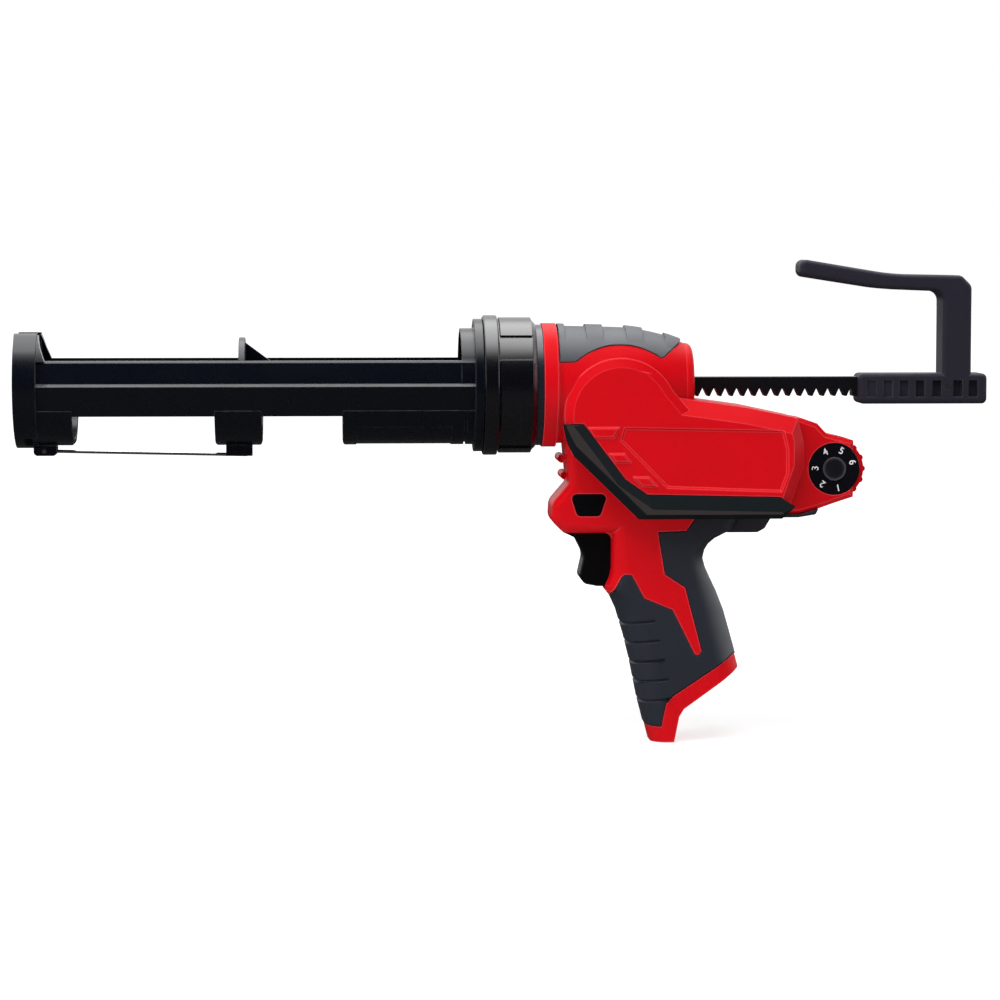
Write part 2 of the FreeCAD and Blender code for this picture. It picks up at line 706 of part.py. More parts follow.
def grip_section(z, front, rear, half, radius):
    """Rounded rectangle in a level plane."""
    arc_x = (front + radius, rear - radius)
    arc_y = half - radius
    lean = radius * math.sqrt(0.5)
    corners = ((arc_x[0], -arc_y, -1, -1), (arc_x[1], -arc_y, 1, -1), (arc_x[1], arc_y, 1, 1),
               (arc_x[0], arc_y, -1, 1))
    edges = []
    for i, (x, y, sx, sy) in enumerate(corners):
        side = vec(x + sx * radius, y, z)
        face = vec(x, y + sy * radius, z)
        middle = vec(x + sx * lean, y + sy * lean, z)
        first, last = (side, face) if i % 2 == 0 else (face, side)
        edges.append((first, middle, last))
    wire = []
    for i, (first, middle, last) in enumerate(edges):
        wire.append(Part.Arc(first, middle, last).toShape())
        wire.append(Part.makeLine(last, edges[(i + 1) % len(edges)][0]))
    return Part.Wire(wire)


def grip(grow):
    """Leaning hand grip, cut to the slope of its foot."""
    wires = [grip_section(z, front - grow, rear + grow, half + grow, radius + grow)
             for z, front, rear, half, radius in GRIP_SECTIONS]
    body = Part.makeLoft(wires, True, True)
    foot = offset_outline(FOOT_OUTLINE, [grow] * len(FOOT_OUTLINE))
    reach = GRIP_SECTIONS[-1][3] + WALL + grow
    return body.common(prism(foot, -reach, reach))


def outer_body():
    """Whole outside of both shells."""
    ribs = []
    for x, z in NOSE_RIBS:
        ribs.append(rod_y(NOSE_RIB_R, -NOSE_RIB_HALF, NOSE_RIB_HALF, x, z))
        ribs += [Part.makeSphere(NOSE_RIB_R, vec(x, y, z)) for y in (-NOSE_RIB_HALF, NOSE_RIB_HALF)]
        ribs.append(box(x, x + 2 * NOSE_RIB_R, -NOSE_RIB_HALF, NOSE_RIB_HALF,
                        z - NOSE_RIB_R / 2, z + NOSE_RIB_R / 2))
    corner = prism(CORNER_OUTLINE, -CORNER_HALF, CORNER_HALF)
    return fuse([case_body(0), drum(0), tail(0), nose(0), cheeks(0), grip(0), corner] + ribs)


def socket_prism(half, front_gap=0.0):
    """Leaning battery socket."""
    lean = math.tan(SOCKET_TILT)
    low = FOOT_OUTLINE[0][1] - WALL
    x_top = SOCKET_FRONT[0] - (SOCKET_TOP - SOCKET_FRONT[1]) * lean + front_gap
    x_low = SOCKET_FRONT[0] + (SOCKET_FRONT[1] - low) * lean + front_gap
    depth = SOCKET_DEPTH / math.cos(SOCKET_TILT)
    body = prism([(x_top, SOCKET_TOP), (x_top + depth, SOCKET_TOP), (x_low + depth, low), (x_low, low)],
                 -half, half)
    long_edges = [e for e in body.Edges if e.BoundBox.ZLength > SOCKET_DEPTH]
    return body.makeFillet(SOCKET_ROUND, long_edges)


def drive_room():
    """Everything that the two shells leave open inside."""
    room = [case_hollow()]
    room.append(rod_y(DRUM_FACE_R - FIT, -DRUM_HALF + WALL, DRUM_HALF - WALL, OUTPUT_X, OUTPUT_Z))
    room.append(tail(-WALL))
    room.append(nose(-WALL))
    room.append(box(TRIGGER_REAR - FIT, SWITCH_FRONT + SWITCH_LENGTH, -SWITCH_HALF, SWITCH_HALF,
                    TRIGGER_BOTTOM - FIT, NOSE_BOTTOM + WALL + FIT))
    room.append(box(BLOCK_FRONT, BLOCK_FRONT + BLOCK_LENGTH, -BLOCK_HALF, BLOCK_HALF,
                    SOCKET_TOP, SOCKET_TOP + BLOCK_T))
    room.append(socket_prism(SOCKET_HALF))
    room.append(box(lead_x() - 2 * LEAD_R, lead_x() + LEAD_BEND_R + 2 * LEAD_R, -SWITCH_HALF, SWITCH_HALF,
                    SWITCH_TOP, TAIL_BOTTOM + WALL + RUN))
    return room


def trigger_slot():
    """Opening that the trigger moves in."""
    half = TRIGGER_HALF + FIT
    front = NOSE_OUTLINE[2][0]
    return box(front, SWITCH_FRONT, -half, half, TRIGGER_BOTTOM - FIT - RUN, NOSE_BOTTOM + RUN)


def rack_window(gap):
    """Passage for the push rod, along its whole length."""
    return box(ROD_FRONT, ROD_REAR, -RACK_HALF - gap, RACK_HALF + gap, RACK_TIP - gap, RACK_TOP + gap)


def pad_region(gap):
    """Space of the top pad, open upwards."""
    (low_x, low_z), (high_x, high_z) = PAD_REAR_LOW, PAD_REAR_HIGH
    top = NECK_R + PAD_LUG_HEIGHT + WALL
    outline = [(PAD_FRONT, PAD_LOWER), (low_x, low_z), (high_x, high_z), (high_x, top), (PAD_FRONT, top)]
    outline = offset_outline(outline, [gap] * len(outline))
    body = prism(outline, -NECK_R - WALL, NECK_R + WALL)
    return body.cut(rod_y(DRUM_R + PAD_ARC_GAP - gap, -NECK_R - WALL, NECK_R + WALL, OUTPUT_X, OUTPUT_Z))


def bumper_region(gap):
    """Recess of one side bumper on the left."""
    outline = offset_outline(BUMPER_OUTLINE, [gap] * len(BUMPER_OUTLINE))
    return prism(outline, -DRUM_HALF - WALL, -BUMPER_FLOOR)


def grip_rubber_region(gap):
    """Side view of the rubber on the grip."""
    outline = offset_outline(GRIP_RUBBER_OUTLINE, [gap] * len(GRIP_RUBBER_OUTLINE))
    return prism(outline, -NECK_R, NECK_R)


def lock_passage(gap, y0, y1):
    """Cross bore for the lock button."""
    flat = offset_outline([(x, z) for x, z, radius in LOCK_OUTLINE], [gap] * len(LOCK_OUTLINE))
    outline = [(x, z, corner[2] + gap) for (x, z), corner in zip(flat, LOCK_OUTLINE)]
    return rounded_prism(outline, y0, y1)


def screw_places():
    """Axis and head seat of each housing screw."""
    return [(x, z, seat) for (x, z), seat in zip(SCREWS, SCREW_SEATS)]


def inner_supports():
    """Bosses and ribs inside the shells."""
    solids = []
    for x, z, seat in screw_places():
        solids.append(rod_y(SCREW_BOSS_R, -seat, seat, x, z))
    ring = tube_y(SEAT_RING_R, SEAT_RING_BORE_R, SHAFT_END, DRUM_HALF - WALL + RUN, OUTPUT_X, OUTPUT_Z)
    solids += [ring, mirrored(ring)]
    inside = tail(-WALL + RUN)
    board = box(BOARD_FRONT - FIT, BOARD_FRONT + BOARD_LENGTH + FIT, -BOARD_HALF - RUN, BOARD_HALF + RUN,
                BOARD_BOTTOM - RUN, BOARD_TOP + RUN)
    for x in RIBS:
        slab = inside.common(box(x, x + RIB_T, -TAIL_HALF, TAIL_HALF, TAIL_BOTTOM, 0))
        slab = slab.common(box(x, x + RIB_T, -TAIL_HALF, TAIL_HALF, TAIL_BOTTOM, MOTOR_Z + MOTOR_R + WALL))
        solids.append(slab.cut([rod_x(MOTOR_R + RUN, x, x + RIB_T, MOTOR_Z), board] + lead_channels(x)))
    return solids


def lead_x():
    """Place of the wires where they run down to the switch."""
    return SWITCH_FRONT + SWITCH_LENGTH - 2 * LEAD_R


def lead_channels(x):
    """Passages for the wires in a rib."""
    half = LEAD_R + FIT
    low = BOARD_BOTTOM - 2 * LEAD_R - FIT
    return [box(x, x + RIB_T, y - half, y + half, low, BOARD_BOTTOM) for y in (-LEAD_Y, LEAD_Y)]


def screw_holes():
    """Bores and head seats of the housing screws."""
    holes = []
    for x, z, seat in screw_places():
        holes.append(rod_y(SCREW_R + RUN, -SCREW_DEPTH - FIT, seat, x, z))
        holes.append(rod_y(SCREW_HEAD_R + FIT, seat, DRUM_HALF, x, z))
    return holes


def panel_recess():
    """Shallow recess of the left tail panel, with sloping walls."""
    floor = TAIL_HALF - PANEL_DEPTH
    slope = [PANEL_LIP] * len(PANEL_OUTLINE)
    outline = offset_outline(PANEL_OUTLINE, slope)
    return bevelled(outline, slope, ((-DRUM_HALF, 0), (-TAIL_HALF, 0), (-floor, 1)))


def louvre_bars():
    """Raised bars on the left side."""
    bars = []
    for outline in LOUVRES:
        bevel = [LOUVRE_BEVEL] * len(outline)
        face = TAIL_HALF + LOUVRE_HEIGHT
        levels = ((-face, 1), (-face + LOUVRE_BEVEL, 0), (-TAIL_HALF + WALL / 2, 0))
        bars.append(bevelled(outline, bevel, levels))
    return bars


def build_shells():
    """Both housing shells."""
    body = outer_body().cut(drive_room())
    body = body.fuse(inner_supports())
    bars = louvre_bars()
    body = body.cut([panel_recess(), mirrored(panel_recess())]).fuse(bars + [mirrored(b) for b in bars])
    cuts = [trigger_slot(), rack_window(2 * FIT), rod_x(SLEEVE_SEAT_R + RUN, NECK_FRONT - FIT, SLEEVE_SEAT)]
    cuts.append(lock_passage(FIT, -DRUM_HALF, DRUM_HALF))
    cuts.append(rod_y(DIAL_LUG_R + 2 * FIT, -DIAL_HALF - FIT, DIAL_HALF + FIT, DIAL_X, DIAL_Z))
    cuts.append(rod_y(DIAL_FACE_R + FIT, -CHEEK_HALF - FIT, 0, DIAL_X, DIAL_Z))
    cuts += screw_holes()
    cuts.append(pad_region(SEAM).cut(case_body(-RUBBER_DEPTH)))
    cuts += [bumper_region(SEAM), mirrored(bumper_region(SEAM))]
    cuts.append(grip_rubber_region(SEAM).cut(grip(-RUBBER_DEPTH)).common(grip(WALL)))
    body = body.cut(cuts)
    reach = ROD_REAR
    left = body.common(box(-reach, reach, -reach, 0, -reach, reach))
    right = body.common(box(-reach, reach, 0, reach, -reach, reach))
    return largest(left), largest(right)


def largest(shape):
    """The main solid of a cut shape."""
    return max(shape.Solids, key=lambda solid: solid.Volume)


def build_top_pad():
    """Rubber pad over the gear case, with raised lugs that run out down its sides."""
    region = pad_region(0)
    base = case_body(RUBBER_PROUD, CASE_R_FRONT).cut(case_body(-RUBBER_DEPTH)).common(region)
    lugs = []
    crown = case_body(PAD_LUG_HEIGHT - PAD_LUG_RAISE, CASE_R_FRONT)
    crown.translate(vec(0, 0, PAD_LUG_RAISE))
    raised = crown.cut(case_body(0, CASE_R_FRONT))
    for x0, x1 in PAD_LUGS:
        block = box(x0, x1, -NECK_R, NECK_R, PAD_LOWER, NECK_R + WALL)
        lugs.append(raised.common(block).common(region))
    return largest(fuse([base] + lugs))


def build_bumper():
    """Left side bumper with a ridge along its lower side."""
    middle = (BUMPER_FLOOR + BUMPER_FACE) / 2
    body = bevelled(BUMPER_OUTLINE, BUMPER_INSETS, ((-BUMPER_FACE, 1), (-middle, 0), (-BUMPER_FLOOR, 0)))
    return body


def grip_front(z):
    """Front edge of the grip at a height."""
    for high, low in zip(GRIP_SECTIONS, GRIP_SECTIONS[1:]):
        if low[0] <= z <= high[0]:
            share = (high[0] - z) / (high[0] - low[0])
            return high[1] + share * (low[1] - high[1])
    return GRIP_SECTIONS[-1][1]


def groove_cutters():
    """Finger grooves across the front of the grip."""
    cutters = []
    for i in range(GROOVES):
        z = GROOVE_FIRST + i * GROOVE_PITCH
        x = grip_front(z)
        slab = box(x - WALL, x + GROOVE_REACH, -NECK_R, NECK_R, z - GROOVE_HEIGHT / 2, z + GROOVE_HEIGHT / 2)
        slab.rotate(vec(x, 0, z), vec(0, 1, 0), -math.degrees(GROOVE_RISE))
        cutters.append(slab)
    return cutters


def build_grip_rubber():
    """Rubber cover of the left half of the grip."""
    cover = grip(RUBBER_PROUD).cut(grip(-RUBBER_DEPTH)).common(grip_rubber_region(0))
    cover = cover.common(box(0, ROD_REAR, -NECK_R, 0, -ROD_REAR, 0))
    tail_block = tail(FIT)
    groove_floor = grip(RUBBER_PROUD - GROOVE_DEPTH)
    cover = cover.cut([tail_block] + [slab.cut(groove_floor) for slab in groove_cutters()])
    cover = cover.cut(prism(WEB_OUTLINE, -WEB_HALF, WEB_HALF).cut(grip(RUBBER_PROUD)))
    return largest(cover)


def build_web_pad():
    """Rubber under the tail, between the grip and the dial."""
    body = prism(WEB_OUTLINE, -WEB_HALF, WEB_HALF)
    return largest(body.cut([grip(RUBBER_PROUD + RUN)]))


def build_housing_screws():
    """All housing screws, driven from the right."""
    screws = []
    for x, z, seat in screw_places():
        shank = rod_y(SCREW_R, -SCREW_DEPTH, seat, x, z)
        head = rod_y(SCREW_HEAD_R, seat, seat + SCREW_HEAD_T, x, z)
        drive = rod_y(SCREW_R * 0.7, seat + SCREW_HEAD_T / 2, seat + SCREW_HEAD_T, x, z)
        screws.append(fuse([shank, head]).cut(drive))
    return Part.Compound(screws)


def rail_pair():
    """Both side rails with a ledge along their outer side."""
    inside = CARRIAGE_BORE_R / 2
    section = [vec(PLATE_REAR, y, z) for y, z in (
        (inside, RAIL_TOP), (RAIL_EDGE_Y - RAIL_TOP_EDGE, RAIL_TOP),
        (RAIL_EDGE_Y, RAIL_TOP - RAIL_TOP_EDGE), (RAIL_LEDGE_Y, RAIL_LEDGE_Z),
        (RAIL_RIDGE_Y, RAIL_RIDGE_Z), (RAIL_EDGE_Y, RAIL_BOTTOM), (inside, RAIL_BOTTOM))]
    face = Part.Face(Part.makePolygon(section + section[:1]))
    rail = face.extrude(vec(FLANGE_FRONT - PLATE_REAR, 0, 0))
    return [rail, mirrored(rail)]


def saddle(x0, x1):
    """Half-round bottom support with rounded lower corners."""
    low = -CARRIAGE_R - FIT
    outline = [(x0, SADDLE_TOP, 0), (x1, SADDLE_TOP, 0),
               (x1, low, SADDLE_CORNER_R), (x0, low, SADDLE_CORNER_R)]
    half = rounded_prism(outline, -CARRIAGE_R - WALL, CARRIAGE_R + WALL)
    return rod_x(CARRIAGE_R, x0, x1).common(half)


def saddle_cuts():
    """Groove and shallow panel on the rear saddle."""
    out = FLANGE_R
    start = FLANGE_FRONT - SADDLE_GROOVE_GAP - SADDLE_GROOVE_WIDTH
    groove = tube_x(out, CARRIAGE_R - SADDLE_GROOVE_DEPTH, start, start + SADDLE_GROOVE_WIDTH)
    front, rear = (FLANGE_FRONT - length for length in reversed(SADDLE_PANEL))
    panel = tube_x(out, CARRIAGE_R - SADDLE_PANEL_DEPTH, front, rear)
    return [groove.common(box(start, FLANGE_FRONT, -out, out, -out, RAIL_BOTTOM)),
            panel.common(box(front, rear, -out, out, -out, SADDLE_PANEL_TOP))]


def plate_cuts():
    """Top facets, lower notches and bracket slot of the front plate."""
    low, high = PLATE_FACET
    low_y = math.sqrt(PLATE_R ** 2 - low ** 2)
    high_y = math.sqrt(PLATE_R ** 2 - high ** 2)
    out = PLATE_R
    corners = [vec(PLATE_FRONT, y, z) for y, z in (
        (low_y, low), (low_y + out, low), (high_y + out, high + out), (high_y, high + out), (high_y, high))]
    facet = Part.Face(Part.makePolygon(corners + corners[:1])).extrude(vec(PLATE_T, 0, 0))
    near, far, top = PLATE_NOTCH
    notch = box(PLATE_REAR - PLATE_NOTCH_LENGTH, PLATE_REAR, near, far, -PLATE_R, top)
    notch = notch.cut(rod_x(PLATE_NOTCH_FLOOR_R, PLATE_FRONT, PLATE_REAR))
    side = BRACKET_HALF + FIT
    slot = box(BRACKET_FRONT - FIT, PLATE_REAR, -side, side, -PLATE_R, -SEAT_DROP)
    return [facet, mirrored(facet), notch, mirrored(notch), slot]


def plate_gussets():
    """Curved webs behind both arms of the front plate."""
    outline = [(PLATE_REAR + x, z) for x, z in GUSSET_OUTLINE]
    web = prism(outline, -PLATE_R, PLATE_R)
    length = GUSSET_OUTLINE[3][0] - GUSSET_OUTLINE[0][0]
    start = PLATE_REAR + GUSSET_OUTLINE[0][0]
    return web.common(tube_x(CARRIAGE_R, CARRIAGE_BORE_R, start, start + length))


def build_carriage():
    """Cartridge carriage: front plate, rails, saddles, rear head and the spigot in the lock ring."""
    plate = rod_x(PLATE_R, PLATE_FRONT, PLATE_REAR)
    plate = plate.common(box(PLATE_FRONT, PLATE_REAR, -PLATE_R, PLATE_R, -PLATE_R, PLATE_TOP))
    slot = fuse([rod_x(NOZZLE_SLOT_R, PLATE_FRONT, PLATE_REAR),
                 box(PLATE_FRONT, PLATE_REAR, -NOZZLE_SLOT_R, NOZZLE_SLOT_R, 0, PLATE_R)])
    plate = plate.cut([slot] + plate_cuts())
    middle_end = MIDDLE_SADDLE_FRONT + MIDDLE_SADDLE_LENGTH
    solids = rail_pair()
    solids += [saddle(PLATE_REAR - SADDLE_CORNER_R, PLATE_REAR + FRONT_SADDLE_LENGTH),
               saddle(MIDDLE_SADDLE_FRONT, middle_end),
               saddle(FLANGE_FRONT - HEAD_LENGTH - REAR_SADDLE_LENGTH, FLANGE_FRONT + FLANGE_T / 2)]
    solids.append(rod_x(HEAD_R, HEAD_FRONT, FLANGE_REAR))
    solids.append(rod_x(FLANGE_R, FLANGE_FRONT, FLANGE_REAR))
    solids.append(rod_x(SPIGOT_R, FLANGE_FRONT, LIP_REAR))
    solids.append(rod_x(LIP_R, LIP_FRONT, LIP_REAR))
    seat = box(BRACKET_FRONT - FIT, BRACKET_FRONT + BRACKET_LENGTH, -BRACKET_HALF, BRACKET_HALF,
               -SEAT_DROP, -CARRIAGE_BORE_R)
    latch_front = MIDDLE_SADDLE_FRONT + (MIDDLE_SADDLE_LENGTH - LATCH_LENGTH) / 2
    latch = box(latch_front, latch_front + LATCH_LENGTH, -LATCH_HALF, LATCH_HALF,
                LATCH_BOTTOM, -CARRIAGE_BORE_R)
    groove = box(latch_front, latch_front + LATCH_LENGTH, -WIRE_R - FIT, WIRE_R + FIT,
                 LATCH_BOTTOM, WIRE_Z - (latch_front - WIRE_PIN_X) * math.tan(WIRE_LEAN) + WIRE_R + FIT)
    bore = rod_x(CARRIAGE_BORE_R, PLATE_REAR, LIP_REAR)
    frame = fuse(solids + [seat, latch]).cut([bore, groove] + saddle_cuts())
    return fuse([frame, plate] + plate_gussets().Solids)


def build_wire_bracket():
    """Steel bracket with two ears under the front saddle."""
    x0 = BRACKET_FRONT
    base = box(x0, x0 + BRACKET_LENGTH, -BRACKET_HALF, BRACKET_HALF, -SEAT_DROP - BRACKET_T, -SEAT_DROP)
    ear = rounded_prism([(x0, -SEAT_DROP, 0), (x0 + BRACKET_LENGTH, -SEAT_DROP, 0),
                         (x0 + BRACKET_LENGTH, WIRE_Z - WIRE_EYE_R, 2.0), (x0, WIRE_Z - WIRE_EYE_R, 2.0)],
                        -BRACKET_HALF, -BRACKET_HALF + BRACKET_T)
    inner = BRACKET_HALF - BRACKET_T
    eye_slot = box(WIRE_PIN_X - WIRE_EYE_R, WIRE_PIN_X + WIRE_EYE_R, -inner, inner,
                   -SEAT_DROP - BRACKET_T, -SEAT_DROP)
    body = fuse([base.cut(eye_slot), ear, mirrored(ear)])
    return body.cut(rod_y(WIRE_PIN_R, -BRACKET_HALF, BRACKET_HALF, WIRE_PIN_X, WIRE_Z))


def build_wire_pin():
    """Pivot pin of the piercing wire."""
    return rod_y(WIRE_PIN_R, -BRACKET_HALF, BRACKET_HALF, WIRE_PIN_X, WIRE_Z)


def build_pierce_wire():
    """Wire with an eye at its pivot and a ground point."""
    eye_half = BRACKET_HALF - BRACKET_T - FIT
    eye = rod_y(WIRE_EYE_R - FIT, -eye_half, eye_half, WIRE_PIN_X, WIRE_Z)
    point = 3 * WIRE_R
    stem = rod_x(WIRE_R, WIRE_PIN_X, WIRE_PIN_X + WIRE_LENGTH - point, WIRE_Z)
    tip_start = vec(WIRE_PIN_X + WIRE_LENGTH - point, 0, WIRE_Z)
    tip = Part.makeCone(WIRE_R, WIRE_R / 4, point, tip_start, vec(1, 0, 0))
    wire = fuse([eye, stem, tip]).cut(rod_y(WIRE_PIN_R + RUN, -eye_half, eye_half, WIRE_PIN_X, WIRE_Z))
    wire.rotate(vec(WIRE_PIN_X, 0, WIRE_Z), vec(0, 1, 0), math.degrees(WIRE_LEAN))
    return wire


def build_lock_ring():
    """Ring that pulls the carriage against the nose sleeve."""
    body = rod_x(RING_R, RING_FRONT, RING_REAR)
    chamfer = [e for e in body.Edges if abs(e.BoundBox.XMin - RING_REAR) < 1e-4 and e.BoundBox.XLength < 1e-4]
    body = body.makeChamfer(RING_CHAMFER, chamfer)
    flange = rod_x(RING_FLANGE_R, RING_FRONT, RING_FRONT + RING_FLANGE_T)
    start = RING_FRONT + RING_FLANGE_T + RING_LINE
    stop = RING_REAR - RING_CHAMFER
    pads = rod_x(RING_PAD_R, start, stop)
    for i in range(RING_GROOVES):
        groove = box(start, stop, -RING_GROOVE_WIDTH / 2, RING_GROOVE_WIDTH / 2, 0, RING_FLANGE_R)
        groove.rotate(vec(0, 0, 0), vec(1, 0, 0), RING_GROOVE_TURN + 360 / RING_GROOVES * i)
        pads = pads.cut(groove)
    body = fuse([body, flange, pads])
    shoulder = LIP_FRONT - FIT
    return body.cut([rod_x(SPIGOT_R + FIT, RING_FRONT, shoulder),
                     rod_x(LIP_R + FIT, shoulder, RING_REAR)])


def build_nose_sleeve():
    """Bright sleeve that the lock ring turns on."""
    body = fuse([rod_x(SLEEVE_R, SLEEVE_FRONT, NECK_FRONT), rod_x(SLEEVE_SEAT_R, NECK_FRONT, SLEEVE_SEAT)])
    return body.cut(rod_x(SLEEVE_BORE_R, SLEEVE_FRONT, SLEEVE_SEAT))


def build_front_guide():
    """Guide disc for the push rod in the nose sleeve."""
    disc = rod_x(SLEEVE_BORE_R - RUN, GUIDE_FRONT, GUIDE_FRONT + GUIDE_T)
    return disc.cut(rack_window(FIT))


def build_rear_guide():
    """Guide block for the push rod at the rear wall."""
    rear = CASE_BACK - WALL
    block = box(rear - REAR_GUIDE_LENGTH, rear, -REAR_GUIDE_HALF, REAR_GUIDE_HALF,
                RACK_TIP - 2 * GUIDE_WALL, RACK_TOP + GUIDE_WALL)
    return block.cut(rack_window(FIT))


def build_rack_rod():
    """Push rod with rack teeth on its underside."""
    root = RACK_PITCH_Z - DEDENDUM * MODULE
    crest = RACK_PITCH / 4 - RACK_BACKLASH / 2 + math.tan(PRESSURE) * (RACK_PITCH_Z - RACK_TIP)
    slope = math.tan(PRESSURE)
    tip_half = RACK_PITCH / 4 - RACK_BACKLASH / 2 - slope * (RACK_PITCH_Z - RACK_TIP)
    valley = RACK_PITCH_Z + DEDENDUM * MODULE
    root_half = RACK_PITCH / 4 - RACK_BACKLASH / 2 + slope * (valley - RACK_PITCH_Z)
    first = OUTPUT_X - round((OUTPUT_X - ROD_FRONT) / RACK_PITCH - 7) * RACK_PITCH
    points = [(ROD_FRONT, RACK_TOP), (ROD_REAR, RACK_TOP), (ROD_REAR, RACK_TIP)]
    last = first + (RACK_TEETH - 1) * RACK_PITCH
    points += [(last + RACK_PITCH - root_half, RACK_TIP), (last + RACK_PITCH - root_half, valley)]
    for i in reversed(range(RACK_TEETH)):
        x = first + i * RACK_PITCH
        points += [(x + root_half, valley), (x + tip_half, RACK_TIP), (x - tip_half, RACK_TIP),
                   (x - root_half, valley)]
    points += [(first - RACK_PITCH + root_half, valley), (first - RACK_PITCH + root_half, RACK_TIP),
               (ROD_FRONT, RACK_TIP)]
    rod = prism(points, -RACK_HALF, RACK_HALF)
    rod = rod.cut(rod_x(PLUNGER_SCREW_R, ROD_FRONT, plunger_screw_end(), rod_middle()))
    return rod.cut(rod_y(HANDLE_PIN_R, -RACK_HALF, RACK_HALF, handle_pin_x(), rod_middle()))


def rod_middle():
    """Height of the push rod's middle line."""
    return (RACK_TOP + RACK_TIP) / 2


def plunger_screw_end():
    """Rear end of the plunger screw."""
    return PLUNGER_FRONT + PLUNGER_SCREW_LENGTH


def handle_pin_x():
    """Place of the handle pin, between two pockets."""
    return (POCKET_MIDDLES[HANDLE_PIN_PLACE - 1] + POCKET_MIDDLES[HANDLE_PIN_PLACE]) / 2


def build_plunger():
    """Plunger disc with a hub and gussets."""
    disc = rod_x(PLUNGER_R, PLUNGER_FRONT, PLUNGER_FRONT + PLUNGER_T)
    hub_end = PLUNGER_FRONT + PLUNGER_HUB_LENGTH
    solids = [disc, rod_x(PLUNGER_HUB_R, PLUNGER_FRONT, hub_end)]
    back = PLUNGER_FRONT + PLUNGER_T
    outline = [(back - RUN, 0), (back - RUN, PLUNGER_R - GUSSET_T),
               (hub_end, PLUNGER_HUB_R - RUN), (hub_end, 0)]
    for i in range(GUSSETS):
        gusset = prism(outline, -GUSSET_T / 2, GUSSET_T / 2)
        gusset.rotate(vec(0, 0, 0), vec(1, 0, 0), 360 / GUSSETS * i)
        solids.append(gusset)
    socket = box(ROD_FRONT, hub_end, -RACK_HALF, RACK_HALF, RACK_TIP, RACK_TOP)
    z = rod_middle()
    recess = rod_x(PLUNGER_SCREW_HEAD_R, PLUNGER_FRONT, PLUNGER_FRONT + PLUNGER_SCREW_HEAD_T, z)
    return fuse(solids).cut([socket, recess, rod_x(PLUNGER_SCREW_R, PLUNGER_FRONT, ROD_FRONT, z)])


def build_plunger_screw():
    """Screw through the plunger into the push rod."""
    z = rod_middle()
    head = rod_x(PLUNGER_SCREW_HEAD_R, PLUNGER_FRONT, PLUNGER_FRONT + PLUNGER_SCREW_HEAD_T, z)
    shank = rod_x(PLUNGER_SCREW_R, PLUNGER_FRONT, plunger_screw_end(), z)
    drive = rod_x(PLUNGER_SCREW_R, PLUNGER_FRONT, PLUNGER_FRONT + PLUNGER_SCREW_HEAD_T / 2, z)
    return fuse([head, shank]).cut(drive)


def build_pull_handle():
    """Pull handle with a socket for the push rod and a row of pockets."""
    arm = rounded_prism(ARM_OUTLINE, -HANDLE_HALF, HANDLE_HALF)
    arm = round_sides(arm, HANDLE_ROUND, HANDLE_HALF)
    corner_r = HANDLE_ROUND + FIT
    base = rounded_prism([(x, z, corner_r) for x, z in (
        (HANDLE_FRONT, HANDLE_BASE_BOTTOM), (HANDLE_REAR, HANDLE_BASE_BOTTOM),
        (HANDLE_REAR, HANDLE_BASE_TOP), (HANDLE_FRONT, HANDLE_BASE_TOP))], -HANDLE_HALF, HANDLE_HALF)
    base = round_sides(base, HANDLE_ROUND, HANDLE_HALF)
    cuts = [box(HANDLE_FRONT, ROD_REAR, -RACK_HALF, RACK_HALF, RACK_TIP, RACK_TOP)]
    for middle, depth in zip(POCKET_MIDDLES, POCKET_DEPTHS):
        x = middle - POCKET_LENGTH / 2
        pocket = box(x, x + POCKET_LENGTH, -HANDLE_HALF, -HANDLE_HALF + depth, POCKET_BOTTOM, POCKET_TOP)
        cuts += [pocket, mirrored(pocket)]
    cuts.append(rod_y(HANDLE_PIN_R, -HANDLE_HALF, HANDLE_HALF, handle_pin_x(), rod_middle()))
    return fuse([arm, base]).cut(cuts)


def build_handle_pin():
    """Cross pin that fixes the handle to the push rod."""
    return rod_y(HANDLE_PIN_R, -HANDLE_HALF, HANDLE_HALF, handle_pin_x(), rod_middle())


def build_trigger():
    """Trigger with its stem and spring pocket."""
    body = rounded_prism(TRIGGER_OUTLINE, -TRIGGER_HALF, TRIGGER_HALF)
    body = round_sides(body, TRIGGER_ROUND, TRIGGER_HALF)
    pocket_r = SPRING_R + 2 * SPRING_WIRE_R + FIT
    pocket = rod_x(pocket_r, TRIGGER_REAR - SPRING_POCKET, TRIGGER_REAR, TRIGGER_STEM_Z)
    stem_end = SWITCH_FRONT + FIT + RUN
    stem = rod_x(TRIGGER_STEM_R, TRIGGER_REAR - SPRING_POCKET - RUN, stem_end, TRIGGER_STEM_Z)
    return fuse([body.cut(pocket), stem])


def build_trigger_switch():
    """Switch block behind the trigger."""
    rear = SWITCH_FRONT + SWITCH_LENGTH
    body = box(SWITCH_FRONT, rear, -SWITCH_HALF, SWITCH_HALF, SWITCH_BOTTOM, SWITCH_TOP)
    stem_end = SWITCH_FRONT + 2 * TRIGGER_TRAVEL
    return body.cut(rod_x(TRIGGER_STEM_R + FIT, SWITCH_FRONT, stem_end, TRIGGER_STEM_Z))


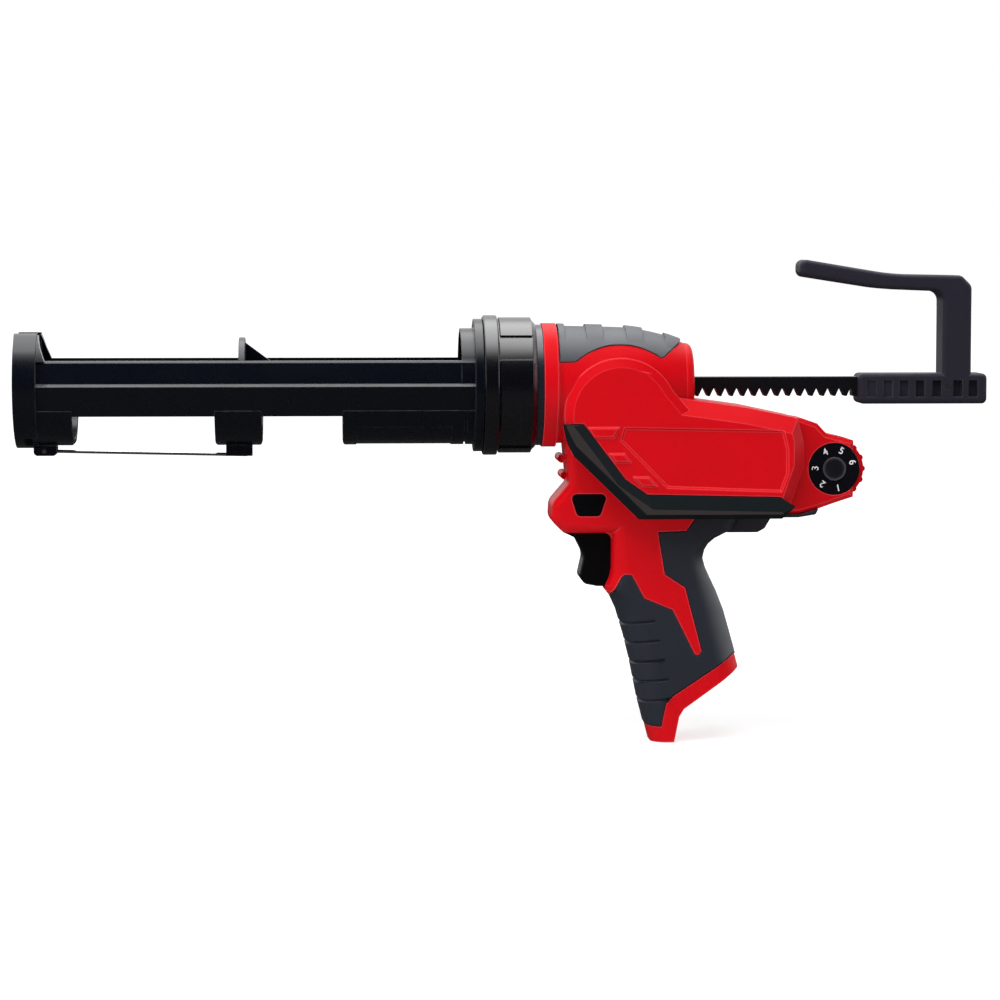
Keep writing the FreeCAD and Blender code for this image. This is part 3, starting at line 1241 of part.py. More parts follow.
def build_trigger_spring():
    """Return spring, as one wire wound in quarter-turn arcs."""
    start = TRIGGER_REAR - SPRING_POCKET + SPRING_WIRE_R + RUN
    stop = SWITCH_FRONT - SPRING_WIRE_R - RUN
    quarters = 4 * SPRING_TURNS
    step = (stop - start) / quarters
    edges = []

    def on_coil(i):
        turn = math.pi / 2 * i
        return vec(start + step * i, SPRING_R * math.cos(turn), TRIGGER_STEM_Z + SPRING_R * math.sin(turn))

    for i in range(quarters):
        edges.append(Part.Arc(on_coil(i), on_coil(i + 0.5), on_coil(i + 1)).toShape())
    path = Part.Wire(edges)
    begin = on_coil(0)
    way = edges[0].tangentAt(edges[0].FirstParameter)
    ring = Part.Wire(Part.makeCircle(SPRING_WIRE_R, begin, way))
    gap = 4 * step - 2 * SPRING_WIRE_R
    print("trigger spring: least gap between turns %.2f mm" % gap)
    return path.makePipeShell([ring], True, False)


def build_lock_button():
    """Cross bolt that blocks the trigger, flush on the left."""
    near = -NOSE_HALF - LOCK_PROUD
    far = NOSE_HALF + LOCK_PROUD + LOCK_TRAVEL
    return lock_passage(0, near, far)


def build_dial_wheel():
    """Thumb wheel with lugs, hollow for the potentiometer."""
    body = rod_y(DIAL_R, -DIAL_HALF, DIAL_HALF, DIAL_X, DIAL_Z)
    half = math.pi / DIAL_LUGS / 2
    outline = []
    for i in range(DIAL_LUGS):
        turn = 2 * math.pi * i / DIAL_LUGS
        for radius, angle in ((DIAL_R - RUN, -half), (DIAL_LUG_R, -half / 2), (DIAL_LUG_R, half / 2),
                              (DIAL_R - RUN, half)):
            outline.append((DIAL_X + radius * math.cos(turn + angle),
                            DIAL_Z + radius * math.sin(turn + angle)))
    body = fuse([body, prism(outline, -DIAL_HALF, DIAL_HALF)])
    hollow = rod_y(POT_R + POT_RING, -DIAL_HALF + DIAL_FACE_T + DIAL_WEB_T, DIAL_HALF, DIAL_X, DIAL_Z)
    seat = rod_y(DIAL_FACE_R, -DIAL_HALF, -DIAL_HALF + DIAL_FACE_T, DIAL_X, DIAL_Z)
    axle_near = -DIAL_HALF + DIAL_FACE_T + DIAL_WEB_T - RUN
    axle = rod_y(DIAL_AXLE_R, axle_near, DIAL_HALF - DIAL_WEB_T, DIAL_X, DIAL_Z)
    return fuse([body.cut([hollow, seat]), axle])


def build_dial_face():
    """Numbered face of the dial."""
    front = -CHEEK_HALF + FIT
    disc = rod_y(DIAL_FACE_R, front, -DIAL_HALF + DIAL_FACE_T, DIAL_X, DIAL_Z)
    hub = tube_y(DIAL_FACE_R * 0.42, DIAL_FACE_R * 0.3, front - RUN * 4, front, DIAL_X, DIAL_Z)
    return fuse([disc, hub])


def build_dial_pot():
    """Potentiometer on the right cheek, inside the wheel."""
    near = -DIAL_HALF + DIAL_FACE_T + DIAL_WEB_T + 2 * FIT
    body = rod_y(POT_R, near, DIAL_HALF + FIT, DIAL_X, DIAL_Z)
    return body.cut(rod_y(DIAL_AXLE_R + RUN, near, DIAL_HALF - DIAL_WEB_T + FIT, DIAL_X, DIAL_Z))


def build_rack_pinion():
    """Pinion that drives the push rod."""
    levels = tooth_levels(PINION_TEETH, MODULE, ADDENDUM, DEDENDUM, RACK_BACKLASH)
    outline = gear_outline(PINION_TEETH, levels, math.pi / 2 + math.pi / PINION_TEETH)
    body = spur_y(outline, OUTPUT_X, OUTPUT_Z, -PINION_HALF, PINION_HALF)
    return body.cut(rod_y(OUTPUT_SHAFT_R, -PINION_HALF, PINION_HALF, OUTPUT_X, OUTPUT_Z))


def build_output_shaft():
    """Shaft of the rack pinion and the output gear."""
    return rod_y(OUTPUT_SHAFT_R, -SHAFT_END, SHAFT_END, OUTPUT_X, OUTPUT_Z)


def build_output_gear():
    """Large gear beside the rack pinion."""
    levels = tooth_levels(GEAR_TEETH, GEAR_MODULE, ADDENDUM, DEDENDUM, GEAR_BACKLASH)
    outline = gear_outline(GEAR_TEETH, levels, LAY_ANGLE)
    body = spur_y(outline, OUTPUT_X, OUTPUT_Z, GEAR_NEAR, GEAR_NEAR + GEAR_T)
    return body.cut(rod_y(OUTPUT_SHAFT_R, GEAR_NEAR, GEAR_NEAR + GEAR_T, OUTPUT_X, OUTPUT_Z))


def build_lay_pinion():
    """Small gear of the lay shaft."""
    levels = tooth_levels(LAY_TEETH, GEAR_MODULE, ADDENDUM, DEDENDUM, GEAR_BACKLASH)
    phase = LAY_ANGLE + math.pi + math.pi / LAY_TEETH
    body = spur_y(gear_outline(LAY_TEETH, levels, phase), LAY_X, MOTOR_Z, GEAR_NEAR, GEAR_NEAR + GEAR_T)
    return body.cut(rod_y(LAY_SHAFT_R, GEAR_NEAR, GEAR_NEAR + GEAR_T, LAY_X, MOTOR_Z))


def build_lay_shaft():
    """Shaft of the lay pinion and the bevel gear."""
    return rod_y(LAY_SHAFT_R, -SHAFT_END, SHAFT_END, LAY_X, MOTOR_Z)


def build_bevel_gear():
    """Bevel gear on the lay shaft, left of the middle plane."""
    outline = bevel_outline(BEVEL_TEETH, BEVEL_PINION_TEETH, 0.0)
    back = BEVEL_PINION_R
    share = 1 - BEVEL_FACE / math.hypot(BEVEL_R, BEVEL_PINION_R)
    rings = []
    for scale in (1.0, share):
        rings.append([vec(LAY_X + scale * r * math.cos(a), -back * scale, MOTOR_Z + scale * r * math.sin(a))
                      for r, a in outline])
    hub_r = BEVEL_R - DEDENDUM * GEAR_MODULE * 3
    hub = rod_y(hub_r, -back - BEVEL_BACK, -back * share, LAY_X, MOTOR_Z)
    body = fuse([skin(rings), hub])
    return body.cut(rod_y(LAY_SHAFT_R, -back - BEVEL_BACK, 0, LAY_X, MOTOR_Z))


def build_bevel_pinion():
    """Bevel pinion on its shaft in front of the gearbox."""
    phase = math.pi + math.pi / BEVEL_PINION_TEETH
    outline = bevel_outline(BEVEL_PINION_TEETH, BEVEL_TEETH, phase)
    share = 1 - BEVEL_FACE / math.hypot(BEVEL_R, BEVEL_PINION_R)
    rings = []
    for scale in (1.0, share):
        rings.append([vec(LAY_X + BEVEL_R * scale, scale * r * math.cos(a), MOTOR_Z + scale * r * math.sin(a))
                      for r, a in outline])
    start = LAY_X + BEVEL_R
    hub = rod_x(BEVEL_PINION_R - GEAR_MODULE, start - RUN, GEARBOX_FRONT - FIT, MOTOR_Z)
    body = fuse([skin(rings), hub])
    return body.cut(rod_x(BEVEL_SHAFT_R, LAY_X, GEARBOX_FRONT, MOTOR_Z))


def planet_place(i):
    """Axis of a planet gear as y and z."""
    turn = 2 * math.pi * i / PLANETS
    return PLANET_ORBIT * math.cos(turn), MOTOR_Z + PLANET_ORBIT * math.sin(turn)


def build_bevel_shaft():
    """Shaft of the bevel pinion, ending inside the roller clutch."""
    share = 1 - BEVEL_FACE / math.hypot(BEVEL_R, BEVEL_PINION_R)
    return rod_x(BEVEL_SHAFT_R, LAY_X + BEVEL_R * share, CARRIER_FRONT + CARRIER_T, MOTOR_Z)


def build_clutch_rollers():
    """Rollers of the one-way clutch between the carrier and the bevel shaft."""
    radius = (CLUTCH_R - BEVEL_SHAFT_R) / 2 - CLUTCH_GAP
    orbit = (CLUTCH_R + BEVEL_SHAFT_R) / 2
    rollers = []
    for i in range(CLUTCH_ROLLERS):
        turn = 2 * math.pi * i / CLUTCH_ROLLERS
        rollers.append(rod_x(radius, CARRIER_FRONT, CARRIER_FRONT + CARRIER_T,
                             MOTOR_Z + orbit * math.sin(turn), orbit * math.cos(turn)))
    return Part.Compound(rollers)


def build_planet_carrier():
    """Carrier disc with its clutch bore and planet pins."""
    disc = rod_x(CARRIER_R, CARRIER_FRONT, CARRIER_FRONT + CARRIER_T, MOTOR_Z)
    solids = [disc.cut(rod_x(CLUTCH_R, CARRIER_FRONT, CARRIER_FRONT + CARRIER_T, MOTOR_Z))]
    for i in range(PLANETS):
        y, z = planet_place(i)
        solids.append(rod_x(PLANET_PIN_R, CARRIER_FRONT, PLANET_FRONT + PLANET_T, z, y))
    return fuse(solids)


def build_planet_gear(i):
    """One planet gear, with a gap towards the sun."""
    y, z = planet_place(i)
    levels = tooth_levels(PLANET_TEETH, PLANET_MODULE, ADDENDUM, DEDENDUM, PLANET_BACKLASH)
    phase = 2 * math.pi * i / PLANETS + math.pi + math.pi / PLANET_TEETH
    body = spur_x(gear_outline(PLANET_TEETH, levels, phase), y, z, PLANET_FRONT, PLANET_FRONT + PLANET_T)
    return body.cut(rod_x(PLANET_PIN_R + RUN, PLANET_FRONT, PLANET_FRONT + PLANET_T, z, y))


def build_gearbox_case():
    """Case with the fixed ring gear."""
    rear = GEARBOX_FRONT + GEARBOX_LENGTH
    body = rod_x(GEARBOX_R, GEARBOX_FRONT, rear, MOTOR_Z)
    inner_front = GEARBOX_FRONT + GEARBOX_WALL
    levels = tooth_levels(RING_TEETH, PLANET_MODULE, DEDENDUM, ADDENDUM, -PLANET_BACKLASH)
    space = spur_x(gear_outline(RING_TEETH, levels, math.pi / RING_TEETH), 0, MOTOR_Z, inner_front, rear)
    relief = rod_x(CARRIER_R + 2 * FIT, inner_front, PLANET_FRONT - FIT / 2, MOTOR_Z)
    bore = rod_x(BEVEL_SHAFT_R + RUN, GEARBOX_FRONT, inner_front, MOTOR_Z)
    return body.cut([space, relief, bore])


def build_sun_gear():
    """Sun gear on the motor shaft."""
    levels = tooth_levels(SUN_TEETH, PLANET_MODULE, ADDENDUM, DEDENDUM, PLANET_BACKLASH)
    body = spur_x(gear_outline(SUN_TEETH, levels, 0.0), 0, MOTOR_Z, PLANET_FRONT, PLANET_FRONT + PLANET_T)
    return body.cut(rod_x(MOTOR_SHAFT_R, PLANET_FRONT, PLANET_FRONT + PLANET_T, MOTOR_Z))


def armature_front():
    """Front end of the armature core."""
    return MOTOR_FRONT + (MOTOR_LENGTH - ARMATURE_LENGTH) / 2


def build_armature():
    """Armature core on the motor shaft."""
    core_r = MOTOR_R - MOTOR_WALL - MAGNET_T - ARMATURE_GAP
    front = armature_front()
    shaft = rod_x(MOTOR_SHAFT_R, PLANET_FRONT, MOTOR_REAR + ENDCAP_T, MOTOR_Z)
    return fuse([rod_x(core_r, front, front + ARMATURE_LENGTH, MOTOR_Z), shaft])


def build_motor_can():
    """Steel can, closed at the front."""
    body = rod_x(MOTOR_R, MOTOR_FRONT, MOTOR_REAR, MOTOR_Z)
    hollow = rod_x(MOTOR_R - MOTOR_WALL, MOTOR_FRONT + 2 * MOTOR_WALL, MOTOR_REAR, MOTOR_Z)
    return body.cut([hollow, rod_x(MOTOR_SHAFT_R + RUN, MOTOR_FRONT, MOTOR_REAR, MOTOR_Z)])


def build_motor_magnets():
    """Two curved magnets in the can."""
    outer = MOTOR_R - MOTOR_WALL
    front = armature_front()
    ring = tube_x(outer, outer - MAGNET_T, front, front + ARMATURE_LENGTH, MOTOR_Z)
    split = MOTOR_WALL * 2
    halves = ring.cut(box(front, front + ARMATURE_LENGTH, -split, split,
                          MOTOR_Z - MOTOR_R, MOTOR_Z + MOTOR_R))
    return Part.Compound(halves.Solids)


def build_motor_endcap():
    """Plastic end cap with the brush ends."""
    body = rod_x(MOTOR_R, MOTOR_REAR, MOTOR_REAR + ENDCAP_T, MOTOR_Z)
    return body.cut(rod_x(MOTOR_SHAFT_R + RUN, MOTOR_REAR, MOTOR_REAR + ENDCAP_T, MOTOR_Z))


def bush_pair(radius, x, z):
    """Two bushes in the gear plates."""
    bush = tube_y(radius + BUSH_WALL, radius + RUN, GEAR_PLATE_NEAR, SHAFT_END, x, z)
    return Part.Compound([bush, mirrored(bush)])


def build_gear_plate():
    """Left plate that holds the shaft bushes and spacers."""
    outline = [(OUTPUT_X - 13, OUTPUT_Z + 21, 4), (OUTPUT_X + 6, OUTPUT_Z + 21, 4),
               (OUTPUT_X + 28, MOTOR_Z + 17, 4),
               (LAY_X + 13, MOTOR_Z - 17, 4), (LAY_X + 3, MOTOR_Z - 17, 4), (LAY_X - 9, MOTOR_Z - 6, 4)]
    plate = rounded_prism(outline, -SHAFT_END, -GEAR_PLATE_NEAR)
    holes = [rod_y(OUTPUT_SHAFT_R + BUSH_WALL, -SHAFT_END, -GEAR_PLATE_NEAR, OUTPUT_X, OUTPUT_Z),
             rod_y(LAY_SHAFT_R + BUSH_WALL, -SHAFT_END, -GEAR_PLATE_NEAR, LAY_X, MOTOR_Z)]
    return plate.cut(holes)


def build_frame_spacers():
    """Round spacers between the gear plates."""
    return Part.Compound([rod_y(SPACER_R, -GEAR_PLATE_NEAR, GEAR_PLATE_NEAR, x, z) for x, z in SPACERS])


def build_rack_support():
    """Slide block that backs the push rod over the pinion."""
    low = RACK_TOP + FIT
    return box(OUTPUT_X - SUPPORT_LENGTH / 2, OUTPUT_X + SUPPORT_LENGTH / 2,
               -GEAR_PLATE_NEAR, GEAR_NEAR - FIT,
               low, low + SUPPORT_T)


def build_control_board():
    """Control board under the motor."""
    return box(BOARD_FRONT, BOARD_FRONT + BOARD_LENGTH, -BOARD_HALF, BOARD_HALF, BOARD_BOTTOM, BOARD_TOP)


def blade_places():
    """Middle of each battery contact."""
    first = -(BLADES - 1) / 2 * BLADE_PITCH
    return [first + i * BLADE_PITCH for i in range(BLADES)]


def build_contact_block():
    """Block at the top of the battery socket."""
    body = box(BLOCK_FRONT, BLOCK_FRONT + BLOCK_LENGTH, -BLOCK_HALF, BLOCK_HALF,
               SOCKET_TOP, SOCKET_TOP + BLOCK_T)
    return body.cut([blade(y) for y in blade_places()])


def blade(y):
    """One battery contact."""
    x = BLOCK_FRONT + (BLOCK_LENGTH - BLADE_WIDTH) / 2
    return box(x, x + BLADE_WIDTH, y - BLADE_T / 2, y + BLADE_T / 2,
               SOCKET_TOP - BLADE_LENGTH, SOCKET_TOP + BLOCK_T)


def build_contact_blades():
    """All battery contacts."""
    return Part.Compound([blade(y) for y in blade_places()])


def lead(y):
    """One wire from the control board, round a bend, to the switch."""
    x = lead_x()
    top = BOARD_BOTTOM - LEAD_R
    bend = vec(x, y, top - LEAD_BEND_R)
    path = Part.Wire([
        Part.makeLine(vec(BOARD_FRONT + BOARD_LENGTH / 4, y, top), vec(x + LEAD_BEND_R, y, top)),
        Part.Arc(vec(x + LEAD_BEND_R, y, top),
                 vec(x + LEAD_BEND_R * (1 - math.sqrt(0.5)), y, top - LEAD_BEND_R * (1 - math.sqrt(0.5))),
                 bend).toShape(),
        Part.makeLine(bend, vec(x, y, SWITCH_TOP)),
    ])
    ring = Part.Wire(Part.makeCircle(LEAD_R, vec(BOARD_FRONT + BOARD_LENGTH / 4, y, top), vec(-1, 0, 0)))
    return path.makePipeShell([ring], True, False)


def build_switch_leads():
    """Both wires between the board and the switch."""
    return Part.Compound([lead(-LEAD_Y), lead(LEAD_Y)])


def build_nodes():
    """Every sub-part by its node name."""
    left, right = build_shells()
    plate = build_gear_plate()
    bumper = build_bumper()
    rubber = build_grip_rubber()
    nodes = {
        "carriage_frame": build_carriage(),
        "wire_bracket": build_wire_bracket(),
        "wire_pin": build_wire_pin(),
        "pierce_wire": build_pierce_wire(),
        "lock_ring": build_lock_ring(),
        "nose_sleeve": build_nose_sleeve(),
        "rod_guide_front": build_front_guide(),
        "rod_guide_rear": build_rear_guide(),
        "rack_rod": build_rack_rod(),
        "plunger": build_plunger(),
        "plunger_screw": build_plunger_screw(),
        "pull_handle": build_pull_handle(),
        "handle_pin": build_handle_pin(),
        "housing_left": left,
        "housing_right": right,
        "housing_screws": build_housing_screws(),
        "top_pad": build_top_pad(),
        "side_bumper_left": bumper,
        "side_bumper_right": mirrored(bumper),
        "grip_rubber_left": rubber,
        "grip_rubber_right": mirrored(rubber),
        "web_pad": build_web_pad(),
        "trigger": build_trigger(),
        "trigger_switch": build_trigger_switch(),
        "trigger_spring": build_trigger_spring(),
        "lock_button": build_lock_button(),
        "dial_wheel": build_dial_wheel(),
        "dial_face": build_dial_face(),
        "dial_pot": build_dial_pot(),
        "rack_pinion": build_rack_pinion(),
        "output_shaft": build_output_shaft(),
        "output_gear": build_output_gear(),
        "output_bushes": bush_pair(OUTPUT_SHAFT_R, OUTPUT_X, OUTPUT_Z),
        "lay_pinion": build_lay_pinion(),
        "lay_shaft": build_lay_shaft(),
        "bevel_gear": build_bevel_gear(),
        "lay_bushes": bush_pair(LAY_SHAFT_R, LAY_X, MOTOR_Z),
        "gear_plate_left": plate,
        "gear_plate_right": mirrored(plate),
        "frame_spacers": build_frame_spacers(),
        "rack_support": build_rack_support(),
        "bevel_pinion": build_bevel_pinion(),
        "bevel_shaft": build_bevel_shaft(),
        "clutch_rollers": build_clutch_rollers(),
        "planet_carrier": build_planet_carrier(),
        "gearbox_case": build_gearbox_case(),
        "sun_gear": build_sun_gear(),
        "armature": build_armature(),
        "motor_can": build_motor_can(),
        "motor_magnets": build_motor_magnets(),
        "motor_endcap": build_motor_endcap(),
        "control_board": build_control_board(),
        "contact_block": build_contact_block(),
        "contact_blades": build_contact_blades(),
        "switch_leads": build_switch_leads(),
    }
    for i in range(PLANETS):
        nodes["planet_gear_%d" % (i + 1)] = build_planet_gear(i)
    return nodes


def main():
    """Writes every sub-part."""
    os.makedirs("parts", exist_ok=True)
    for name, shape in build_nodes().items():
        shape.exportStep("parts/%s.step" % name)
        print(name, len(shape.Solids), shape.isValid(), round(shape.Volume))


main()
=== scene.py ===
"""Looks of a cordless caulking tool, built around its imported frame.

Every length is in metres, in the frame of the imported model: X runs along the push rod towards
the pull handle, Z points up, and the camera looks from the -Y side.
"""

from __future__ import annotations

import json
import logging
import math
from dataclasses import dataclass, field
from enum import Enum

import bmesh
import bpy
from mathutils import Matrix, Vector
from mathutils.kdtree import KDTree

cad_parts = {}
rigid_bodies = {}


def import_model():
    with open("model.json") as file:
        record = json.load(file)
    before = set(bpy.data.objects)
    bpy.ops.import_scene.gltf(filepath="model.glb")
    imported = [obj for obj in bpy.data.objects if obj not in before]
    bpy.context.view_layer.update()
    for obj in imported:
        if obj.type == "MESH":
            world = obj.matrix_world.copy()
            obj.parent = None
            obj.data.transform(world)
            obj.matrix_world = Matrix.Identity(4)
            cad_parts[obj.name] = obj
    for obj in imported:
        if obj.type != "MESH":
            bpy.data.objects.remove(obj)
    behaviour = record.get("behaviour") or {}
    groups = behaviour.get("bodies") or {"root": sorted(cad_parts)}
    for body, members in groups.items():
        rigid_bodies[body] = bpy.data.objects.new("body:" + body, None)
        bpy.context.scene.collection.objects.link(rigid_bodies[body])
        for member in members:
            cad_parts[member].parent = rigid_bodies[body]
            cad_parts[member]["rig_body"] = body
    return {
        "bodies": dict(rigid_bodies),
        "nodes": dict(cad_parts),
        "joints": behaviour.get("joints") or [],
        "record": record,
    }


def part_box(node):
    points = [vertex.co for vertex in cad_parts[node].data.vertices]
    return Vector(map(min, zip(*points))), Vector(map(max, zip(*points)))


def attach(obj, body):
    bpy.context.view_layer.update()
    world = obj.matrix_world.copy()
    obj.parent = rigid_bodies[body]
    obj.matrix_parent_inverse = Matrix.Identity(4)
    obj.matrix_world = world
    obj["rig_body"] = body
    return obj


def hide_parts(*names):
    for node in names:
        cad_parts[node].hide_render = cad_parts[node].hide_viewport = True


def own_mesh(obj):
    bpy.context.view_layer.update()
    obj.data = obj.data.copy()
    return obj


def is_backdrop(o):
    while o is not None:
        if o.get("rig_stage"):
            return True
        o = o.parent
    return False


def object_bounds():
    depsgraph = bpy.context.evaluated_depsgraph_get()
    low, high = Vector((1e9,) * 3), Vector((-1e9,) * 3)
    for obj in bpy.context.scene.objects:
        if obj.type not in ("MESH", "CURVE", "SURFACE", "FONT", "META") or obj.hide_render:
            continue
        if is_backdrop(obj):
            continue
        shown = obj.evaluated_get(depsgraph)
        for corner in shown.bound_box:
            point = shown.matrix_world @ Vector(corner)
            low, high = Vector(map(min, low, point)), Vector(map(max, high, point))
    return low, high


log = logging.getLogger("caulking_tool")

Triple = tuple[float, float, float]
Span = tuple[float, float]
Links = dict[str | int, object]

MM = 0.001
EDGE_MARK = "rounded_edge"
WHITE = (1.0, 1.0, 1.0, 1.0)

# Places of a Mix node's colour sockets
MIX_FIRST = 6
MIX_SECOND = 7
MIX_RESULT = 2


class Group(Enum):
    """Shared shader node groups, by name."""

    GRAIN = "moulded_grain"
    SMUDGE = "handling_smudge"
    WEAR = "edge_wear_and_highlight"
    BRUSH = "drawn_lines"


class Sheen(Enum):
    """How much of the surroundings a surface mirrors."""

    MATTE = 0.06
    DIM = 0.12
    DULL = 0.20
    SATIN = 0.40
    GLOSS = 0.55
    WET = 0.85


def grey(tone: float) -> tuple[float, float, float, float]:
    """Give a tone as an opaque grey."""
    return (tone, tone, tone, 1.0)


def new_group(kind: Group, inputs: dict[str, float], outputs: list[str]) -> bpy.types.NodeTree:
    """Start a shader node group with number sockets.

    Args:
        kind: name of the group.
        inputs: socket names with their usual values.
        outputs: names of the values it gives.

    Returns:
        The tree, holding its group input and output nodes.
    """
    tree = bpy.data.node_groups.new(kind.value, "ShaderNodeTree")
    for name, value in inputs.items():
        socket = tree.interface.new_socket(name, in_out="INPUT", socket_type="NodeSocketFloat")
        socket.default_value = value
    for name in outputs:
        tree.interface.new_socket(name, in_out="OUTPUT", socket_type="NodeSocketFloat")
    tree.nodes.new("NodeGroupInput")
    tree.nodes.new("NodeGroupOutput")
    return tree


class Wiring:
    """Short way to add and link nodes in one tree."""

    def __init__(self, tree: bpy.types.NodeTree) -> None:
        """Keep the tree that the nodes go into.

        Args:
            tree: tree of a material, a world or a group.
        """
        self.tree = tree

    def feed(self, node: bpy.types.Node, links: Links) -> None:
        """Feed a node's inputs.

        Args:
            node: node to feed.
            links: input name or place, with an output socket to link or a value to set.
        """
        for key, value in links.items():
            if isinstance(value, bpy.types.NodeSocket):
                self.tree.links.new(value, node.inputs[key])
            else:
                node.inputs[key].default_value = value

    def add(self, kind: str, links: Links | None = None, **settings: object) -> bpy.types.Node:
        """Add a node, set it up and feed its inputs.

        Args:
            kind: Blender's type name of the node.
            links: what its inputs take.
            settings: properties of the node.

        Returns:
            The new node.
        """
        node = self.tree.nodes.new(kind)
        for name, value in settings.items():
            setattr(node, name, value)
        self.feed(node, links or {})
        return node

    def group(self, kind: Group, **values: object) -> bpy.types.Node:
        """Place a shared group.

        Args:
            kind: name of the group.
            values: what its inputs take.

        Returns:
            The placed group.
        """
        return self.add("ShaderNodeGroup", values, node_tree=bpy.data.node_groups[kind.value])

    def math(self, operation: str, first: object, second: object = 0.0) -> bpy.types.NodeSocket:
        """Work out one number from two.

        Args:
            operation: Blender's name of the operation.
            first: first number.
            second: second number.

        Returns:
            The result.
        """
        return self.add("ShaderNodeMath", {0: first, 1: second}, operation=operation).outputs[0]

    def dot(self, first: object, second: object) -> bpy.types.NodeSocket:
        """Give the dot product of two vectors."""
        node = self.add("ShaderNodeVectorMath", {0: first, 1: second}, operation="DOT_PRODUCT")
        return node.outputs["Value"]

    def ramp(self, value: object, start: object, full: object) -> bpy.types.NodeSocket:
        """Ramp a value up.

        Args:
            value: value to look at.
            start: where the ramp is 0.
            full: where the ramp is 1.

        Returns:
            The ramp.
        """
        node = self.add("ShaderNodeMapRange", {"Value": value, "From Min": start, "From Max": full})
        return node.outputs["Result"]

    def spread(self, value: object, ends: Span) -> bpy.types.NodeSocket:
        """Spread a value from 0..1 to other ends.

        Args:
            value: value to spread.
            ends: what 0 and 1 turn into.

        Returns:
            The spread value.
        """
        low, high = ends
        node = self.add("ShaderNodeMapRange", {"Value": value, "To Min": low, "To Max": high})
        return node.outputs["Result"]

    def mix(self, factor: object, first: object, second: object) -> bpy.types.NodeSocket:
        """Mix two colours.

        Args:
            factor: share of the second colour.
            first: first colour.
            second: second colour.

        Returns:
            The mixed colour.
        """
        node = self.add("ShaderNodeMix", data_type="RGBA")
        self.feed(node, {"Factor": factor, MIX_FIRST: first, MIX_SECOND: second})
        return node.outputs[MIX_RESULT]

    def noise(self, scale: object, detail: float, vector: object = None) -> bpy.types.NodeSocket:
        """Add a noise texture.

        Args:
            scale: size of the noise, per metre.
            detail: how many finer layers it has.
            vector: where it is looked up, or None for Object coordinates.

        Returns:
            The noise.
        """
        if vector is None:
            vector = self.add("ShaderNodeTexCoord").outputs["Object"]
        node = self.add("ShaderNodeTexNoise", {"Vector": vector, "Scale": scale, "Detail": detail})
        return node.outputs["Fac"]

    def ray(self, kind: str) -> bpy.types.NodeSocket:
        """Give 1 for one kind of ray, else 0."""
        return self.add("ShaderNodeLightPath").outputs["Is " + kind + " Ray"]

    def seen(self) -> bpy.types.NodeSocket:
        """Give 1 for rays that see the background, 0 for those that light the object."""
        return self.math("MAXIMUM", self.ray("Camera"), self.ray("Transmission"))


